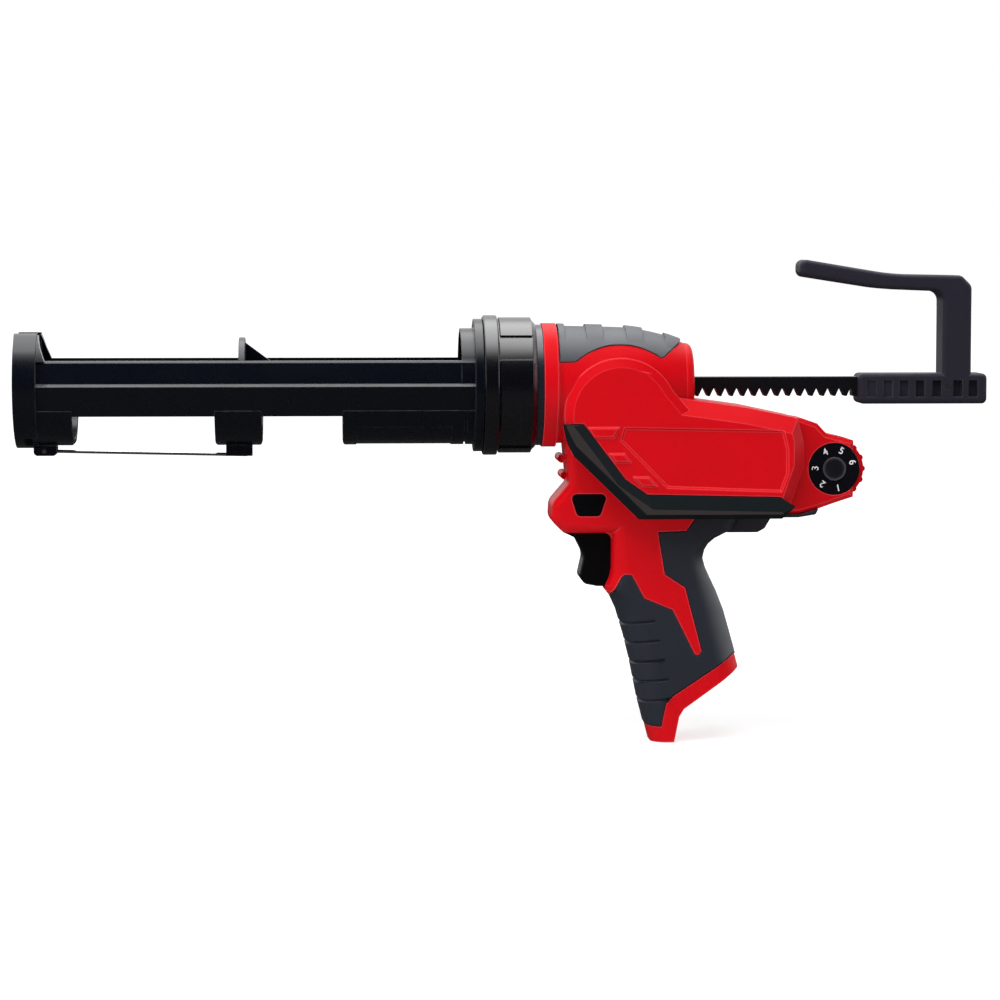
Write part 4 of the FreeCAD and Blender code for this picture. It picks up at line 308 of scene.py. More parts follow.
@dataclass(frozen=True)
class SharedGroups:
    """The effects that several finishes use, each built once.

    Attributes:
        grain_scale: usual size of the grain, per metre.
        fine_ratio: how much finer the fine grain is than the coarse grain.
        coarse_share: share of the coarse grain in the height.
        mottle_ratio: size of the mottle against the grain.
        smudge_scale: size of the smudges, per metre.
        smudge_ends: ends that the smudges are spread to.
        speck_ratio: how much finer the specks are than the smudges.
        speck_span: noise where the specks start and are full.
        wear_scale: size of the gaps in the wear and in the painted edge highlights, per metre.
        wear_cover: usual share of the edges that takes the edge colour.
        wear_soft: how softly the wear and the painted edge highlights break up.
        line_scale: size of the drawn lines, per metre.
        line_stretch: how far the lines are drawn out along each axis.
    """

    grain_scale: float = 2400.0
    fine_ratio: float = 2.7
    coarse_share: float = 0.65
    mottle_ratio: float = 0.22
    smudge_scale: float = 38.0
    smudge_ends: Span = (-0.3, 1.3)
    speck_ratio: float = 14.0
    speck_span: Span = (0.66, 0.74)
    wear_scale: float = 160.0
    wear_cover: float = 0.5
    wear_soft: float = 0.22
    line_scale: float = 900.0
    line_stretch: Triple = (0.04, 1.0, 1.0)

    def build(self) -> None:
        """Build all groups."""
        self.grain()
        self.smudge()
        self.wear()
        self.brush()

    def ends(self, tree: bpy.types.NodeTree) -> tuple[bpy.types.NodeOutputs, bpy.types.Node]:
        """Give what goes into a group and the node that puts its results out."""
        return tree.nodes["Group Input"].outputs, tree.nodes["Group Output"]

    def grain(self) -> None:
        """Fine spark-eroded texture of a mould, as a height and a mottle."""
        tree = new_group(Group.GRAIN, {"Scale": self.grain_scale}, ["Height", "Mottle"])
        given, result = self.ends(tree)
        wires = Wiring(tree)
        coarse = wires.noise(given["Scale"], 2.0)
        fine = wires.noise(wires.math("MULTIPLY", given["Scale"], self.fine_ratio), 1.0)
        coarse_part = wires.math("MULTIPLY", coarse, self.coarse_share)
        fine_part = wires.math("MULTIPLY", fine, 1.0 - self.coarse_share)
        mottle = wires.noise(wires.math("MULTIPLY", given["Scale"], self.mottle_ratio), 3.0)
        wires.feed(result, {"Height": wires.math("ADD", coarse_part, fine_part), "Mottle": mottle})

    def smudge(self) -> None:
        """Wide soft patches where hands have polished or dulled a surface."""
        tree = new_group(Group.SMUDGE, {"Scale": self.smudge_scale}, ["Patch", "Speck"])
        given, result = self.ends(tree)
        wires = Wiring(tree)
        patch = wires.noise(given["Scale"], 4.0)
        speck = wires.noise(wires.math("MULTIPLY", given["Scale"], self.speck_ratio), 2.0)
        wires.feed(result, {
            "Patch": wires.spread(patch, self.smudge_ends), "Speck": wires.ramp(speck, *self.speck_span)})

    def wear(self) -> None:
        """Rubbed edges, and on some finishes painted highlights along them: the edges of a piece, broken up
        by noise.
        """
        inputs = {"Edge": 0.0, "Scale": self.wear_scale, "Cover": self.wear_cover}
        tree = new_group(Group.WEAR, inputs, ["Mask"])
        given, result = self.ends(tree)
        wires = Wiring(tree)
        broken = wires.noise(given["Scale"], 4.0)
        limit = wires.math("SUBTRACT", 1.0, given["Cover"])
        kept = wires.ramp(broken, wires.math("SUBTRACT", limit, self.wear_soft), limit)
        wires.feed(result, {"Mask": wires.math("MULTIPLY", given["Edge"], kept)})

    def brush(self) -> None:
        """Fine lines along X left by drawing or turning."""
        tree = new_group(Group.BRUSH, {"Scale": self.line_scale}, ["Lines"])
        given, result = self.ends(tree)
        wires = Wiring(tree)
        place = wires.add("ShaderNodeTexCoord").outputs["Object"]
        stretch = wires.add("ShaderNodeMapping", {"Vector": place, "Scale": self.line_stretch})
        wires.feed(result, {"Lines": wires.noise(given["Scale"], 3.0, stretch.outputs["Vector"])})


# What all finishes share
BUMP_STRENGTH = 0.35
SPECK_ROUGHNESS = 0.05
LINE_HEIGHT = 1.5
MOTTLE_SHADE = 0.82
BEVEL_SAMPLES = 6
CROWN_SPAN = (0.975, 0.995)
BAND_SPAN = (0.995, 0.93)


@dataclass(frozen=True)
class Finish:
    """A moulded or metal finish made from the shared groups.

    Attributes:
        name: name of the material.
        colour: colour of the clean surface, linear.
        worn: colour on rubbed edges, linear; on the shells and bumpers it is a painted highlight.
        rough: lowest and highest roughness.
        sheen: how strongly the surface mirrors.
        grain: size of the grain, per metre.
        depth: depth of the grain.
        cover: share of the edges that takes the edge colour.
        metallic: 1 for bare metal.
        brushed: whether the surface has drawn lines.
        soften: radius that the shading rounds edges by, for pieces with plain edges.
        band: width of the band beside such edges that takes the edge colour.
        crown: whether the crown that faces straight out to the side takes the edge colour, not the edges.
    """

    name: str
    colour: Triple
    worn: Triple
    rough: Span
    sheen: Sheen
    grain: float = 2400.0
    depth: float = 0.02 * MM
    cover: float = 0.45
    metallic: float = 0.0
    brushed: bool = False
    soften: float = 0.0
    band: float = 0.7 * MM
    crown: bool = False

    def build(self) -> bpy.types.Material:
        """Build the material, or give the one that is already there.

        Returns:
            The material.
        """
        title = self.name + "_finish"
        if title in bpy.data.materials:
            return bpy.data.materials[title]
        material = bpy.data.materials.new(title)
        material.use_nodes = True
        wires = Wiring(material.node_tree)
        grain = wires.group(Group.GRAIN, Scale=self.grain)
        smudge = wires.group(Group.SMUDGE)
        normal, edge = self.edges(wires)
        wear = wires.group(Group.WEAR, Cover=self.cover, Edge=edge)
        patch = wires.spread(smudge.outputs["Patch"], self.rough)
        speck = wires.math("MULTIPLY", smudge.outputs["Speck"], SPECK_ROUGHNESS)
        wires.feed(material.node_tree.nodes["Principled BSDF"], {
            "Base Color": self.paint(wires, grain, smudge, wear),
            "Metallic": self.metallic,
            "Specular IOR Level": self.sheen.value,
            "Roughness": wires.math("ADD", patch, speck),
            "Normal": self.bump(wires, grain, normal)})
        return material

    def edges(self, wires: Wiring) -> tuple[bpy.types.NodeSocket | None, bpy.types.NodeSocket]:
        """Find the edges, as marked on a rounded piece or as the shading rounds them.

        Args:
            wires: wiring of the material.

        Returns:
            The rounded normal, if the shading rounds the edges, and a mask of what takes the edge colour:
            rubbed places, and on the shells and bumpers painted highlights.
        """
        if not self.soften:
            return None, wires.add("ShaderNodeAttribute", attribute_name=EDGE_MARK).outputs["Fac"]
        normal = self.rounded_normal(wires, self.soften)
        surface = wires.add("ShaderNodeNewGeometry").outputs
        # The crown that faces straight out to the side takes the edge colour; on the bumpers it is a painted
        # highlight.
        if self.crown:
            side = wires.add("ShaderNodeSeparateXYZ", {"Vector": surface["True Normal"]}).outputs["Y"]
            return normal, wires.ramp(wires.math("ABSOLUTE", side), *CROWN_SPAN)
        # The band along every edge takes the edge colour; on the shells it is a painted highlight.
        same = wires.dot(self.rounded_normal(wires, self.band), surface["Normal"])
        return normal, wires.ramp(same, *BAND_SPAN)

    def rounded_normal(self, wires: Wiring, radius: float) -> bpy.types.NodeSocket:
        """Round the edges in the shading.

        Args:
            wires: wiring of the material.
            radius: radius of the rounding.

        Returns:
            The rounded normal.
        """
        return wires.add("ShaderNodeBevel", {"Radius": radius}, samples=BEVEL_SAMPLES).outputs["Normal"]

    def bump(self, wires: Wiring, grain: bpy.types.Node,
             normal: bpy.types.NodeSocket | None) -> bpy.types.NodeSocket:
        """Press the grain and the drawn lines into the surface.

        Args:
            wires: wiring of the material.
            grain: placed grain group.
            normal: normal to start from, or None for the surface's own.

        Returns:
            The bumped normal.
        """
        height = grain.outputs["Height"]
        if self.brushed:
            lines = wires.group(Group.BRUSH).outputs["Lines"]
            height = wires.math("ADD", wires.math("MULTIPLY", lines, LINE_HEIGHT), height)
        links: Links = {"Height": height, "Strength": BUMP_STRENGTH, "Distance": self.depth}
        if normal is not None:
            links["Normal"] = normal
        return wires.add("ShaderNodeBump", links).outputs["Normal"]

    def paint(self, wires: Wiring, grain: bpy.types.Node, smudge: bpy.types.Node,
              wear: bpy.types.Node) -> bpy.types.NodeSocket:
        """Mix the colour of clean, mottled and rubbed places, and of painted highlights on some finishes.

        Args:
            wires: wiring of the material.
            grain: placed grain group.
            smudge: placed smudge group.
            wear: placed group of the wear and the painted edge highlights.

        Returns:
            The colour.
        """
        deep = (*(MOTTLE_SHADE * c for c in self.colour), 1.0)
        shade = wires.math("MULTIPLY", grain.outputs["Mottle"], smudge.outputs["Patch"])
        mottled = wires.mix(shade, (*self.colour, 1.0), deep)
        return wires.mix(wear.outputs["Mask"], mottled, (*self.worn, 1.0))


# Painted highlight: a lighter red along every edge of the shells, inner and outer, in a band left nearly
# unbroken.
HOUSING_RED = Finish("housing_red", (0.60, 0.001, 0.006), (0.78, 0.06, 0.075), (0.36, 0.48), Sheen.DIM,
                     cover=0.9, soften=0.3 * MM, band=0.9 * MM)
RUBBER = Finish("soft_rubber", (0.017, 0.021, 0.031), (0.04, 0.043, 0.055), (0.4, 0.52), Sheen.GLOSS,
                grain=1500.0, depth=0.06 * MM)
# Painted highlight: a lighter colour on the bumpers' crown, the face that looks straight out to the side.
BUMPER_RUBBER = Finish("bumper_rubber", (0.006, 0.009, 0.011), (0.034, 0.028, 0.027), (0.46, 0.58),
                       Sheen.DIM, grain=1500.0, depth=0.05 * MM, cover=0.85, soften=0.4 * MM, crown=True)
PAD_RUBBER = Finish("pad_rubber", (0.03, 0.034, 0.042), (0.10, 0.10, 0.105), (0.44, 0.56), Sheen.GLOSS,
                    grain=1500.0, depth=0.06 * MM, soften=0.7 * MM)
CARRIAGE_BLACK = Finish("carriage_black", (0.002, 0.003, 0.006), (0.02, 0.022, 0.03), (0.2, 0.32),
                        Sheen.SATIN, soften=0.5 * MM)
RING_BLACK = Finish("ring_black", (0.002, 0.002, 0.004), (0.03, 0.03, 0.035), (0.22, 0.32), Sheen.WET)
HANDLE_BLACK = Finish("handle_black", (0.018, 0.016, 0.026), (0.05, 0.047, 0.055), (0.5, 0.64), Sheen.DULL,
                      grain=1700.0, depth=0.05 * MM, soften=0.5 * MM)
TRIGGER_BLACK = Finish("trigger_black", (0.001, 0.001, 0.002), (0.012, 0.012, 0.015), (0.3, 0.42),
                       Sheen.SATIN)
DIAL_RED = Finish("dial_red", (0.58, 0.001, 0.006), (0.68, 0.03, 0.04), (0.32, 0.44), Sheen.MATTE)
HUB_GREY = Finish("hub_grey", (0.006, 0.006, 0.009), (0.05, 0.05, 0.057), (0.3, 0.42), Sheen.GLOSS,
                  cover=0.95)
DIAL_BLACK = Finish("dial_black", (0.003, 0.003, 0.006), (0.03, 0.03, 0.035), (0.2, 0.32), Sheen.SATIN)
ROD_BLACK = Finish("blackened_steel", (0.004, 0.004, 0.006), (0.10, 0.10, 0.105), (0.3, 0.44), Sheen.SATIN,
                   cover=0.6)
WIRE_STEEL = Finish("bright_wire", (0.56, 0.56, 0.57), (0.7, 0.7, 0.7), (0.2, 0.32), Sheen.GLOSS,
                    metallic=1.0, brushed=True)
SLEEVE_GREY = Finish("sleeve_grey", (0.012, 0.016, 0.024), (0.1, 0.11, 0.13), (0.22, 0.32), Sheen.GLOSS)
GEAR_STEEL = Finish("gear_steel", (0.4, 0.4, 0.41), (0.6, 0.6, 0.6), (0.28, 0.42), Sheen.GLOSS, metallic=1.0)
FRAME_STEEL = Finish("plate_steel", (0.42, 0.42, 0.44), (0.6, 0.6, 0.6), (0.32, 0.46), Sheen.GLOSS,
                     metallic=1.0, brushed=True)
BRASS = Finish("bearing_brass", (0.6, 0.42, 0.17), (0.75, 0.58, 0.3), (0.26, 0.4), Sheen.GLOSS,
               metallic=1.0, brushed=True)
INNER_PLASTIC = Finish("inner_plastic", (0.03, 0.03, 0.032), (0.08, 0.08, 0.085), (0.45, 0.6), Sheen.SATIN)
BOARD_GREEN = Finish("board_green", (0.02, 0.12, 0.045), (0.1, 0.3, 0.15), (0.3, 0.45), Sheen.GLOSS)
PRINT_WHITE = Finish("print_white", (0.8, 0.8, 0.78), (0.9, 0.9, 0.9), (0.45, 0.6), Sheen.SATIN)


def deselect_all() -> None:
    """Leave edit mode and deselect every object."""
    if bpy.context.mode != "OBJECT":
        bpy.ops.object.mode_set(mode="OBJECT")
    bpy.ops.object.select_all(action="DESELECT")


def activate(piece: bpy.types.Object) -> None:
    """Select one object alone and make it the active one."""
    deselect_all()
    piece.select_set(True)
    bpy.context.view_layer.objects.active = piece


@dataclass
class EdgeRounder:
    """Rounds the edges of a copy of a solid, by as much as each edge has room for.

    Attributes:
        width: wanted width of the rounding, 0 to leave the edges plain.
        steps: faces across a rounding.
        crease: angle from which an edge stays crisp in the shading, in degrees.
        merge: distance within which corners are one corner.
        sharp: angle from which an edge counts as sharp, in degrees.
        level: how far a corner may stand off the plane of a flat face.
        bend: angle below which the edges in a flat face are dissolved, in degrees.
        same_way: least cosine between two faces that face the same way.
        seam: angle below which an edge takes no room, in degrees.
        onward: cosine below which a sharp edge runs on from another.
        room: share of the free space that a rounding may use.
        far: depth of a face that no corner limits.
    """

    width: float
    steps: int
    crease: float
    merge: float = 0.002 * MM
    sharp: float = 26.0
    level: float = 0.004 * MM
    bend: float = 8.0
    same_way: float = 0.99
    seam: float = 0.5
    onward: float = -0.5
    room: float = 0.4
    far: float = 1.0

    def copy_of(self, source: bpy.types.Object, name: str) -> bpy.types.Object:
        """Copy a solid, round its edges and mark the rounded faces.

        Args:
            source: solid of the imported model.
            name: name of the copy.

        Returns:
            The rounded copy, riding on nothing yet.
        """
        piece = bpy.data.objects.new(name, source.data.copy())
        bpy.context.scene.collection.objects.link(piece)
        piece.data.materials.clear()
        activate(piece)
        bpy.ops.mesh.customdata_custom_splitnormals_clear()
        bpy.ops.object.mode_set(mode="EDIT")
        bpy.ops.mesh.select_all(action="SELECT")
        bpy.ops.mesh.remove_doubles(threshold=self.merge)
        bpy.ops.object.mode_set(mode="OBJECT")
        if self.width:
            self.prepare(piece.data)
            self.bevel(piece)
            self.mark(piece.data)
        self.settle(piece)
        return piece

    def prepare(self, mesh: bpy.types.Mesh) -> None:
        """Join the triangles of flat faces and weigh the sharp edges.

        Args:
            mesh: mesh of the copy.
        """
        shape = bmesh.new()
        shape.from_mesh(mesh)
        bmesh.ops.dissolve_limit(shape, angle_limit=math.radians(self.bend), edges=self.flat_edges(shape))
        shape.verts.index_update()
        tree = KDTree(len(shape.verts))
        for vert in shape.verts:
            tree.insert(vert.co, vert.index)
        tree.balance()
        shape.verts.ensure_lookup_table()
        weight = shape.edges.layers.float.new("bevel_weight_edge")
        limit = math.radians(self.sharp)
        sharp = {e for e in shape.edges if len(e.link_faces) == 2 and e.calc_face_angle(0.0) > limit}
        for edge in sharp:
            fits = min(self.room_at(edge, sharp), self.room * self.depth_at(edge, shape, tree))
            edge[weight] = min(1.0, fits / self.width)
        shape.to_mesh(mesh)
        shape.free()

    def flat_edges(self, shape: bmesh.types.BMesh) -> list[bmesh.types.BMEdge]:
        """Find the edges that only divide a flat face.

        Args:
            shape: mesh to look through.

        Returns:
            The edges between two faces in one plane.
        """
        region: dict[bmesh.types.BMFace, int] = {}
        for count, seed in enumerate(sorted(shape.faces, key=lambda f: -f.calc_area())):
            if seed in region:
                continue
            region[seed] = count
            normal, origin = seed.normal.copy(), seed.verts[0].co.copy()
            front = [seed]
            while front:
                for edge in front.pop().edges:
                    for other in edge.link_faces:
                        if other not in region and self.lies_in(other, normal, origin):
                            region[other] = count
                            front.append(other)
        return [e for e in shape.edges
                if len(e.link_faces) == 2 and region[e.link_faces[0]] == region[e.link_faces[1]]]

    def lies_in(self, face: bmesh.types.BMFace, normal: Vector, origin: Vector) -> bool:
        """Tell whether a face lies in a plane and faces the same way.

        Args:
            face: face to look at.
            normal: normal of the plane.
            origin: point of the plane.

        Returns:
            Whether it does.
        """
        if normal.dot(face.normal) < self.same_way:
            return False
        return all(abs((vert.co - origin).dot(normal)) < self.level for vert in face.verts)

    def room_at(self, edge: bmesh.types.BMEdge, sharp: set[bmesh.types.BMEdge]) -> float:
        """Find how wide a rounding fits between the edges that meet at the ends of an edge.

        Args:
            edge: edge to be rounded.
            sharp: all edges that get a rounding.

        Returns:
            The width that fits.
        """
        fits = self.width
        for vert in edge.verts:
            along = (edge.other_vert(vert).co - vert.co).normalized()
            for other in vert.link_edges:
                if other is edge or other.calc_face_angle(0.0) < math.radians(self.seam):
                    continue
                reach = other.other_vert(vert).co - vert.co
                slant = reach.normalized().dot(along)
                if slant < self.onward and other in sharp:
                    continue
                across = reach.length * math.sqrt(max(0.0, 1.0 - slant * slant))
                fits = min(fits, self.room * across)
        return fits

    def depth_at(self, edge: bmesh.types.BMEdge, shape: bmesh.types.BMesh, tree: KDTree) -> float:
        """Find how far the faces beside an edge reach inwards.

        Args:
            edge: edge to be rounded.
            shape: mesh of the edge.
            tree: places of the mesh's corners.

        Returns:
            The distance of the nearest corner across from the edge, or a large value.
        """
        first, last = edge.verts
        along = (last.co - first.co).normalized()
        middle = (first.co + last.co) / 2
        half = edge.calc_length() / 2 + self.width
        near = {v for vert in edge.verts for e in vert.link_edges for v in e.verts}
        depth = self.far
        for place, index, _ in tree.find_range(middle, half + self.width / self.room):
            vert = shape.verts[index]
            reach = place - middle
            if vert in near or abs(reach.dot(along)) > half:
                continue
            if any(face in vert.link_faces for face in edge.link_faces):
                depth = min(depth, (reach - along * reach.dot(along)).length)
        return depth

    def bevel(self, piece: bpy.types.Object) -> None:
        """Apply the bevel, with a second material on its faces.

        Args:
            piece: copy to round.
        """
        bevel = piece.modifiers.new("rounding", "BEVEL")
        bevel.limit_method = "WEIGHT"
        bevel.width = self.width
        bevel.segments = self.steps
        bevel.use_clamp_overlap = False
        bevel.material = 1
        piece.data.materials.append(None)
        piece.data.materials.append(None)
        activate(piece)
        bpy.ops.object.modifier_apply(modifier=bevel.name)
        piece.data.materials.clear()

    def mark(self, mesh: bpy.types.Mesh) -> None:
        """Turn the second material of the rounded faces into a mask.

        Args:
            mesh: mesh of the copy.
        """
        indices = [0] * len(mesh.polygons)
        mesh.polygons.foreach_get("material_index", indices)
        layer = mesh.attributes.new(EDGE_MARK, "FLOAT", "FACE")
        layer.data.foreach_set("value", [float(index) for index in indices])
        mesh.polygons.foreach_set("material_index", [0] * len(indices))

    def settle(self, piece: bpy.types.Object) -> None:
        """Shade the piece smooth between its creases.

        Args:
            piece: copy to shade.
        """
        activate(piece)
        bpy.ops.object.shade_smooth_by_angle(angle=math.radians(self.crease))
        if self.width:
            level = piece.modifiers.new("level_normals", "WEIGHTED_NORMAL")
            level.keep_sharp = True
            bpy.ops.object.modifier_apply(modifier=level.name)


@dataclass
class SubAssembly:
    """Common ways of dressing the nodes of one part of the tool.

    Attributes:
    """

    frame: dict

    def rounded(self, node: str, finish: Finish, width: float = 0.0, steps: int = 3,
                crease: float = 40.0) -> bpy.types.Object:
        """Replace a node by a copy with rounded edges.

        Args:
            node: name of the node.
            finish: finish of the copy.
            width: wanted width of the roundings, 0 for plain edges.
            steps: faces across a rounding.
            crease: angle from which an edge stays crisp in the shading, in degrees.

        Returns:
            The copy.
        """
        source = self.frame["nodes"][node]
        body = source["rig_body"]
        piece = EdgeRounder(width, steps, crease).copy_of(source, node + "_rounded")
        piece.data.materials.append(finish.build())
        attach(piece, body)
        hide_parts(node)
        log.info("%s rides on %s, %d faces", piece.name, body, len(piece.data.polygons))
        return piece

    def slot_of(self, node: str) -> str:
        """Give the record's material slot of a node."""
        return self.frame["slots"][node]

    def dressed(self, node: str, finish: Finish) -> None:
        """Give a finish to a node that keeps its shape.

        Args:
            node: name of the node.
            finish: its finish.
        """
        target = self.frame["nodes"][node]
        material = finish.build()
        if not target.material_slots:
            target.data.materials.append(material)
        for place in target.material_slots:
            place.material = material
        log.info("%s keeps its shape, finish %s", node, finish.name)


@dataclass
class Carriage(SubAssembly):
    """Cradle for the cartridge, with the wire's bracket, lock ring and sleeve.

    Attributes:
        rail_crease: angle from which the cradle's edges stay crisp, in degrees.
        bracket_round: rounding of the wire's bracket.
        ring_round: rounding of the lock ring.
        sleeve_round: rounding of the nose sleeve.
    """

    rail_crease: float = 30.0
    bracket_round: float = 0.2 * MM
    ring_round: float = 0.8 * MM
    sleeve_round: float = 0.3 * MM

    def build(self) -> None:
        """Build and dress the cradle, the bracket, the ring and the sleeve."""
        self.rounded("carriage_frame", CARRIAGE_BLACK, crease=self.rail_crease)
        self.rounded("wire_bracket", CARRIAGE_BLACK, self.bracket_round)
        self.rounded("lock_ring", RING_BLACK, self.ring_round)
        self.rounded("nose_sleeve", SLEEVE_GREY, self.sleeve_round)


@dataclass
class PushRod(SubAssembly):
    """Rack rod with its plunger and pull handle.

    Attributes:
        tooth_round: rounding of the rod's teeth.
        tooth_steps: faces across that rounding.
        plunger_round: rounding of the plunger.
        handle_crease: angle from which the handle's edges stay crisp, in degrees.
    """

    tooth_round: float = 0.25 * MM
    tooth_steps: int = 2
    plunger_round: float = 0.4 * MM
    handle_crease: float = 22.0

    def build(self) -> None:
        """Build and dress the rod, the plunger and the handle."""
        self.rounded("rack_rod", ROD_BLACK, self.tooth_round, self.tooth_steps)
        self.rounded("plunger", CARRIAGE_BLACK, self.plunger_round)
        self.rounded("pull_handle", HANDLE_BLACK, crease=self.handle_crease)


@dataclass
class Housing(SubAssembly):
    """Two red shells with their soft pads, trigger and lock button.

    Attributes:
        shell_crease: angle from which edges of the shells and top pad stay crisp, in degrees.
        bumper_crease: angle from which the bumpers' edges stay crisp, in degrees.
        grip_round: rounding of the grip's rubber.
        web_round: rounding of the pad under the tail.
        trigger_round: rounding of the trigger.
        button_round: rounding of the lock button.
        pull: way of the trigger; not used.
    """

    shell_crease: float = 22.0
    bumper_crease: float = 10.0
    grip_round: float = 0.4 * MM
    web_round: float = 0.6 * MM
    trigger_round: float = 0.6 * MM
    button_round: float = 0.5 * MM
    pull: float = 6.0 * MM

    def build(self) -> None:
        """Build and dress the shells and what sits on them."""
        for side in ("left", "right"):
            self.rounded("housing_" + side, HOUSING_RED, crease=self.shell_crease)
            self.rounded("side_bumper_" + side, BUMPER_RUBBER, crease=self.bumper_crease)
            self.rounded("grip_rubber_" + side, RUBBER, self.grip_round)
        self.rounded("top_pad", PAD_RUBBER, crease=self.shell_crease)
        self.rounded("web_pad", RUBBER, self.web_round)
        self.rounded("trigger", TRIGGER_BLACK, self.trigger_round)
        self.rounded("lock_button", TRIGGER_BLACK, self.button_round)
        self.spring()

    def spring(self) -> None:
        """Dress the return spring and give it a mesh of its own."""
        piece = self.rounded("trigger_spring", WIRE_STEEL)
        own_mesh(piece)


@dataclass
class SpeedDial(SubAssembly):
    """Scalloped wheel with a numbered face.

    Attributes:
        wheel_round: rounding of the wheel.
        face_round: rounding of its face.
        number_ring: radius that the numbers stand on.
        number_size: size of their type.
        number_weight: how much bolder than the plain type they are.
        number_depth: how far they stand proud.
        number_angles: where each number stands, in degrees from +X.
        hub_radius: outside of the hub ring.
        hub_hole: inside of the hub ring.
        hub_height: how far the hub ring stands proud.
        hub_lip: width of the ring's flat top.
        hub_sink: how deep the hub is sunk, as a share of the ring's height.
        hub_sides: faces around the ring.
        hub_edge: rounding of the ring.
        hub_edge_steps: faces across that rounding.
        hub_crease: angle from which the ring's edges stay crisp, in degrees.
        hub_shade: width beside the hole that keeps the dark colour.
        facing_up: least height of a top face's normal.
    """

    wheel_round: float = 0.3 * MM
    face_round: float = 0.25 * MM
    number_ring: float = 9.3 * MM
    number_size: float = 4.6 * MM
    number_weight: float = 0.05 * MM
    number_depth: float = 0.12 * MM
    number_angles: tuple[float, ...] = (-78.3, -128.3, 178.0, 119.0, 69.0, 20.0)
    hub_radius: float = 5.6 * MM
    hub_hole: float = 4.2 * MM
    hub_height: float = 0.5 * MM
    hub_lip: float = 0.45 * MM
    hub_sink: float = 0.9
    hub_sides: int = 72
    hub_edge: float = 0.15 * MM
    hub_edge_steps: int = 3
    hub_crease: float = 35.0
    hub_shade: float = 0.2 * MM
    facing_up: float = 0.9

    def build(self) -> None:
        """Build and dress the wheel, its face, its hub ring and its numbers."""
        self.rounded("dial_wheel", DIAL_RED, self.wheel_round)
        self.rounded("dial_face", DIAL_BLACK, self.face_round)
        low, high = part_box("dial_face")
        middle = Vector(((low.x + high.x) / 2, low.y, (low.z + high.z) / 2))
        upright = Matrix.Translation(middle) @ Matrix.Rotation(math.pi / 2, 4, "X")
        pieces = [self.number(str(count), math.radians(angle), upright)
                  for count, angle in enumerate(self.number_angles, start=1)]
        deselect_all()
        for piece in pieces:
            piece.select_set(True)
        bpy.context.view_layer.objects.active = pieces[0]
        bpy.ops.object.join()
        self.finish_piece(bpy.context.object, "dial_numbers", PRINT_WHITE)
        self.finish_piece(self.hub(upright), "dial_hub", HUB_GREY)

    def number(self, body: str, angle: float, upright: Matrix) -> bpy.types.Object:
        """Make one number, its top pointing away from the hub.

        Args:
            body: the number.
            angle: where it stands around the hub.
            upright: place and turn of the dial face.

        Returns:
            The number as a mesh, in place.
        """
        deselect_all()
        bpy.ops.object.text_add()
        piece = bpy.context.object
        piece.data.body = body
        piece.data.size = self.number_size
        piece.data.extrude = self.number_depth
        piece.data.offset = self.number_weight
        bpy.ops.object.convert(target="MESH")
        piece = bpy.context.object
        bpy.ops.object.origin_set(type="ORIGIN_GEOMETRY", center="BOUNDS")
        out = Vector((math.cos(angle), math.sin(angle), 0.0)) * self.number_ring
        turn = Matrix.Rotation(angle - math.pi / 2, 4, "Z")
        piece.matrix_world = upright @ Matrix.Translation(out) @ turn
        bpy.ops.object.transform_apply(location=True, rotation=True, scale=True)
        return piece

    def hub(self, upright: Matrix) -> bpy.types.Object:
        """Make the ring around the sunk hub.

        Args:
            upright: place and turn of the dial face.

        Returns:
            The ring, in place.
        """
        deselect_all()
        bpy.ops.mesh.primitive_cylinder_add(vertices=self.hub_sides, radius=self.hub_radius,
                                            depth=2 * self.hub_height)
        piece = bpy.context.object
        bpy.ops.object.mode_set(mode="EDIT")
        bpy.ops.mesh.select_mode(type="FACE")
        shape = bmesh.from_edit_mesh(piece.data)
        for face in shape.faces:
            face.select_set(face.normal.z > self.facing_up)
        bmesh.update_edit_mesh(piece.data)
        bpy.ops.mesh.inset(thickness=self.hub_lip, depth=0.0)
        slope = self.hub_radius - self.hub_hole - self.hub_lip
        bpy.ops.mesh.inset(thickness=slope, depth=-self.hub_sink * self.hub_height)
        bpy.ops.object.mode_set(mode="OBJECT")
        rim = piece.modifiers.new("soft_rim", "BEVEL")
        rim.width = self.hub_edge
        rim.segments = self.hub_edge_steps
        rim.limit_method = "ANGLE"
        bpy.ops.object.modifier_apply(modifier=rim.name)
        bpy.ops.object.shade_smooth_by_angle(angle=math.radians(self.hub_crease))
        # The ring outside the hole takes the finish's lighter edge colour at nearly full cover; the sunk
        # middle keeps the dark colour.
        layer = piece.data.attributes.new(EDGE_MARK, "FLOAT", "POINT")
        for vert, mark in zip(piece.data.vertices, layer.data):
            mark.value = float(vert.co.xy.length > self.hub_hole + self.hub_shade)
        piece.matrix_world = upright
        bpy.ops.object.transform_apply(location=True, rotation=True, scale=True)
        return piece

    def finish_piece(self, piece: bpy.types.Object, name: str, finish: Finish) -> None:
        """Name a new piece of the dial, dress it and let it ride on the wheel.

        Args:
            piece: the piece.
            name: its name.
            finish: its finish.
        """
        piece.name = name
        piece.data.materials.clear()
        piece.data.materials.append(finish.build())
        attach(piece, self.frame["nodes"]["dial_face"]["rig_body"])
        self.slot_of("dial_face")
        log.info("%s added, %d faces", name, len(piece.data.polygons))


@dataclass
class Drive(SubAssembly):
    """Motor, gears and electrical pieces, with the wire, the pins and the screws.

    Attributes:
        finishes: finish of each slot.
    """

    finishes: dict[str, Finish] = field(default_factory=lambda: {
        "gear_steel": GEAR_STEEL, "frame_steel": FRAME_STEEL, "bush_brass": BRASS,
        "inner_plastic": INNER_PLASTIC, "board_green": BOARD_GREEN, "small_steel": WIRE_STEEL})

    def build(self) -> None:
        """Dress every node that keeps its shape by its slot."""
        for node, slot in self.frame["slots"].items():
            target = self.frame["nodes"][node]
            if slot in self.finishes and not target.hide_render:
                self.dressed(node, self.finishes[slot])


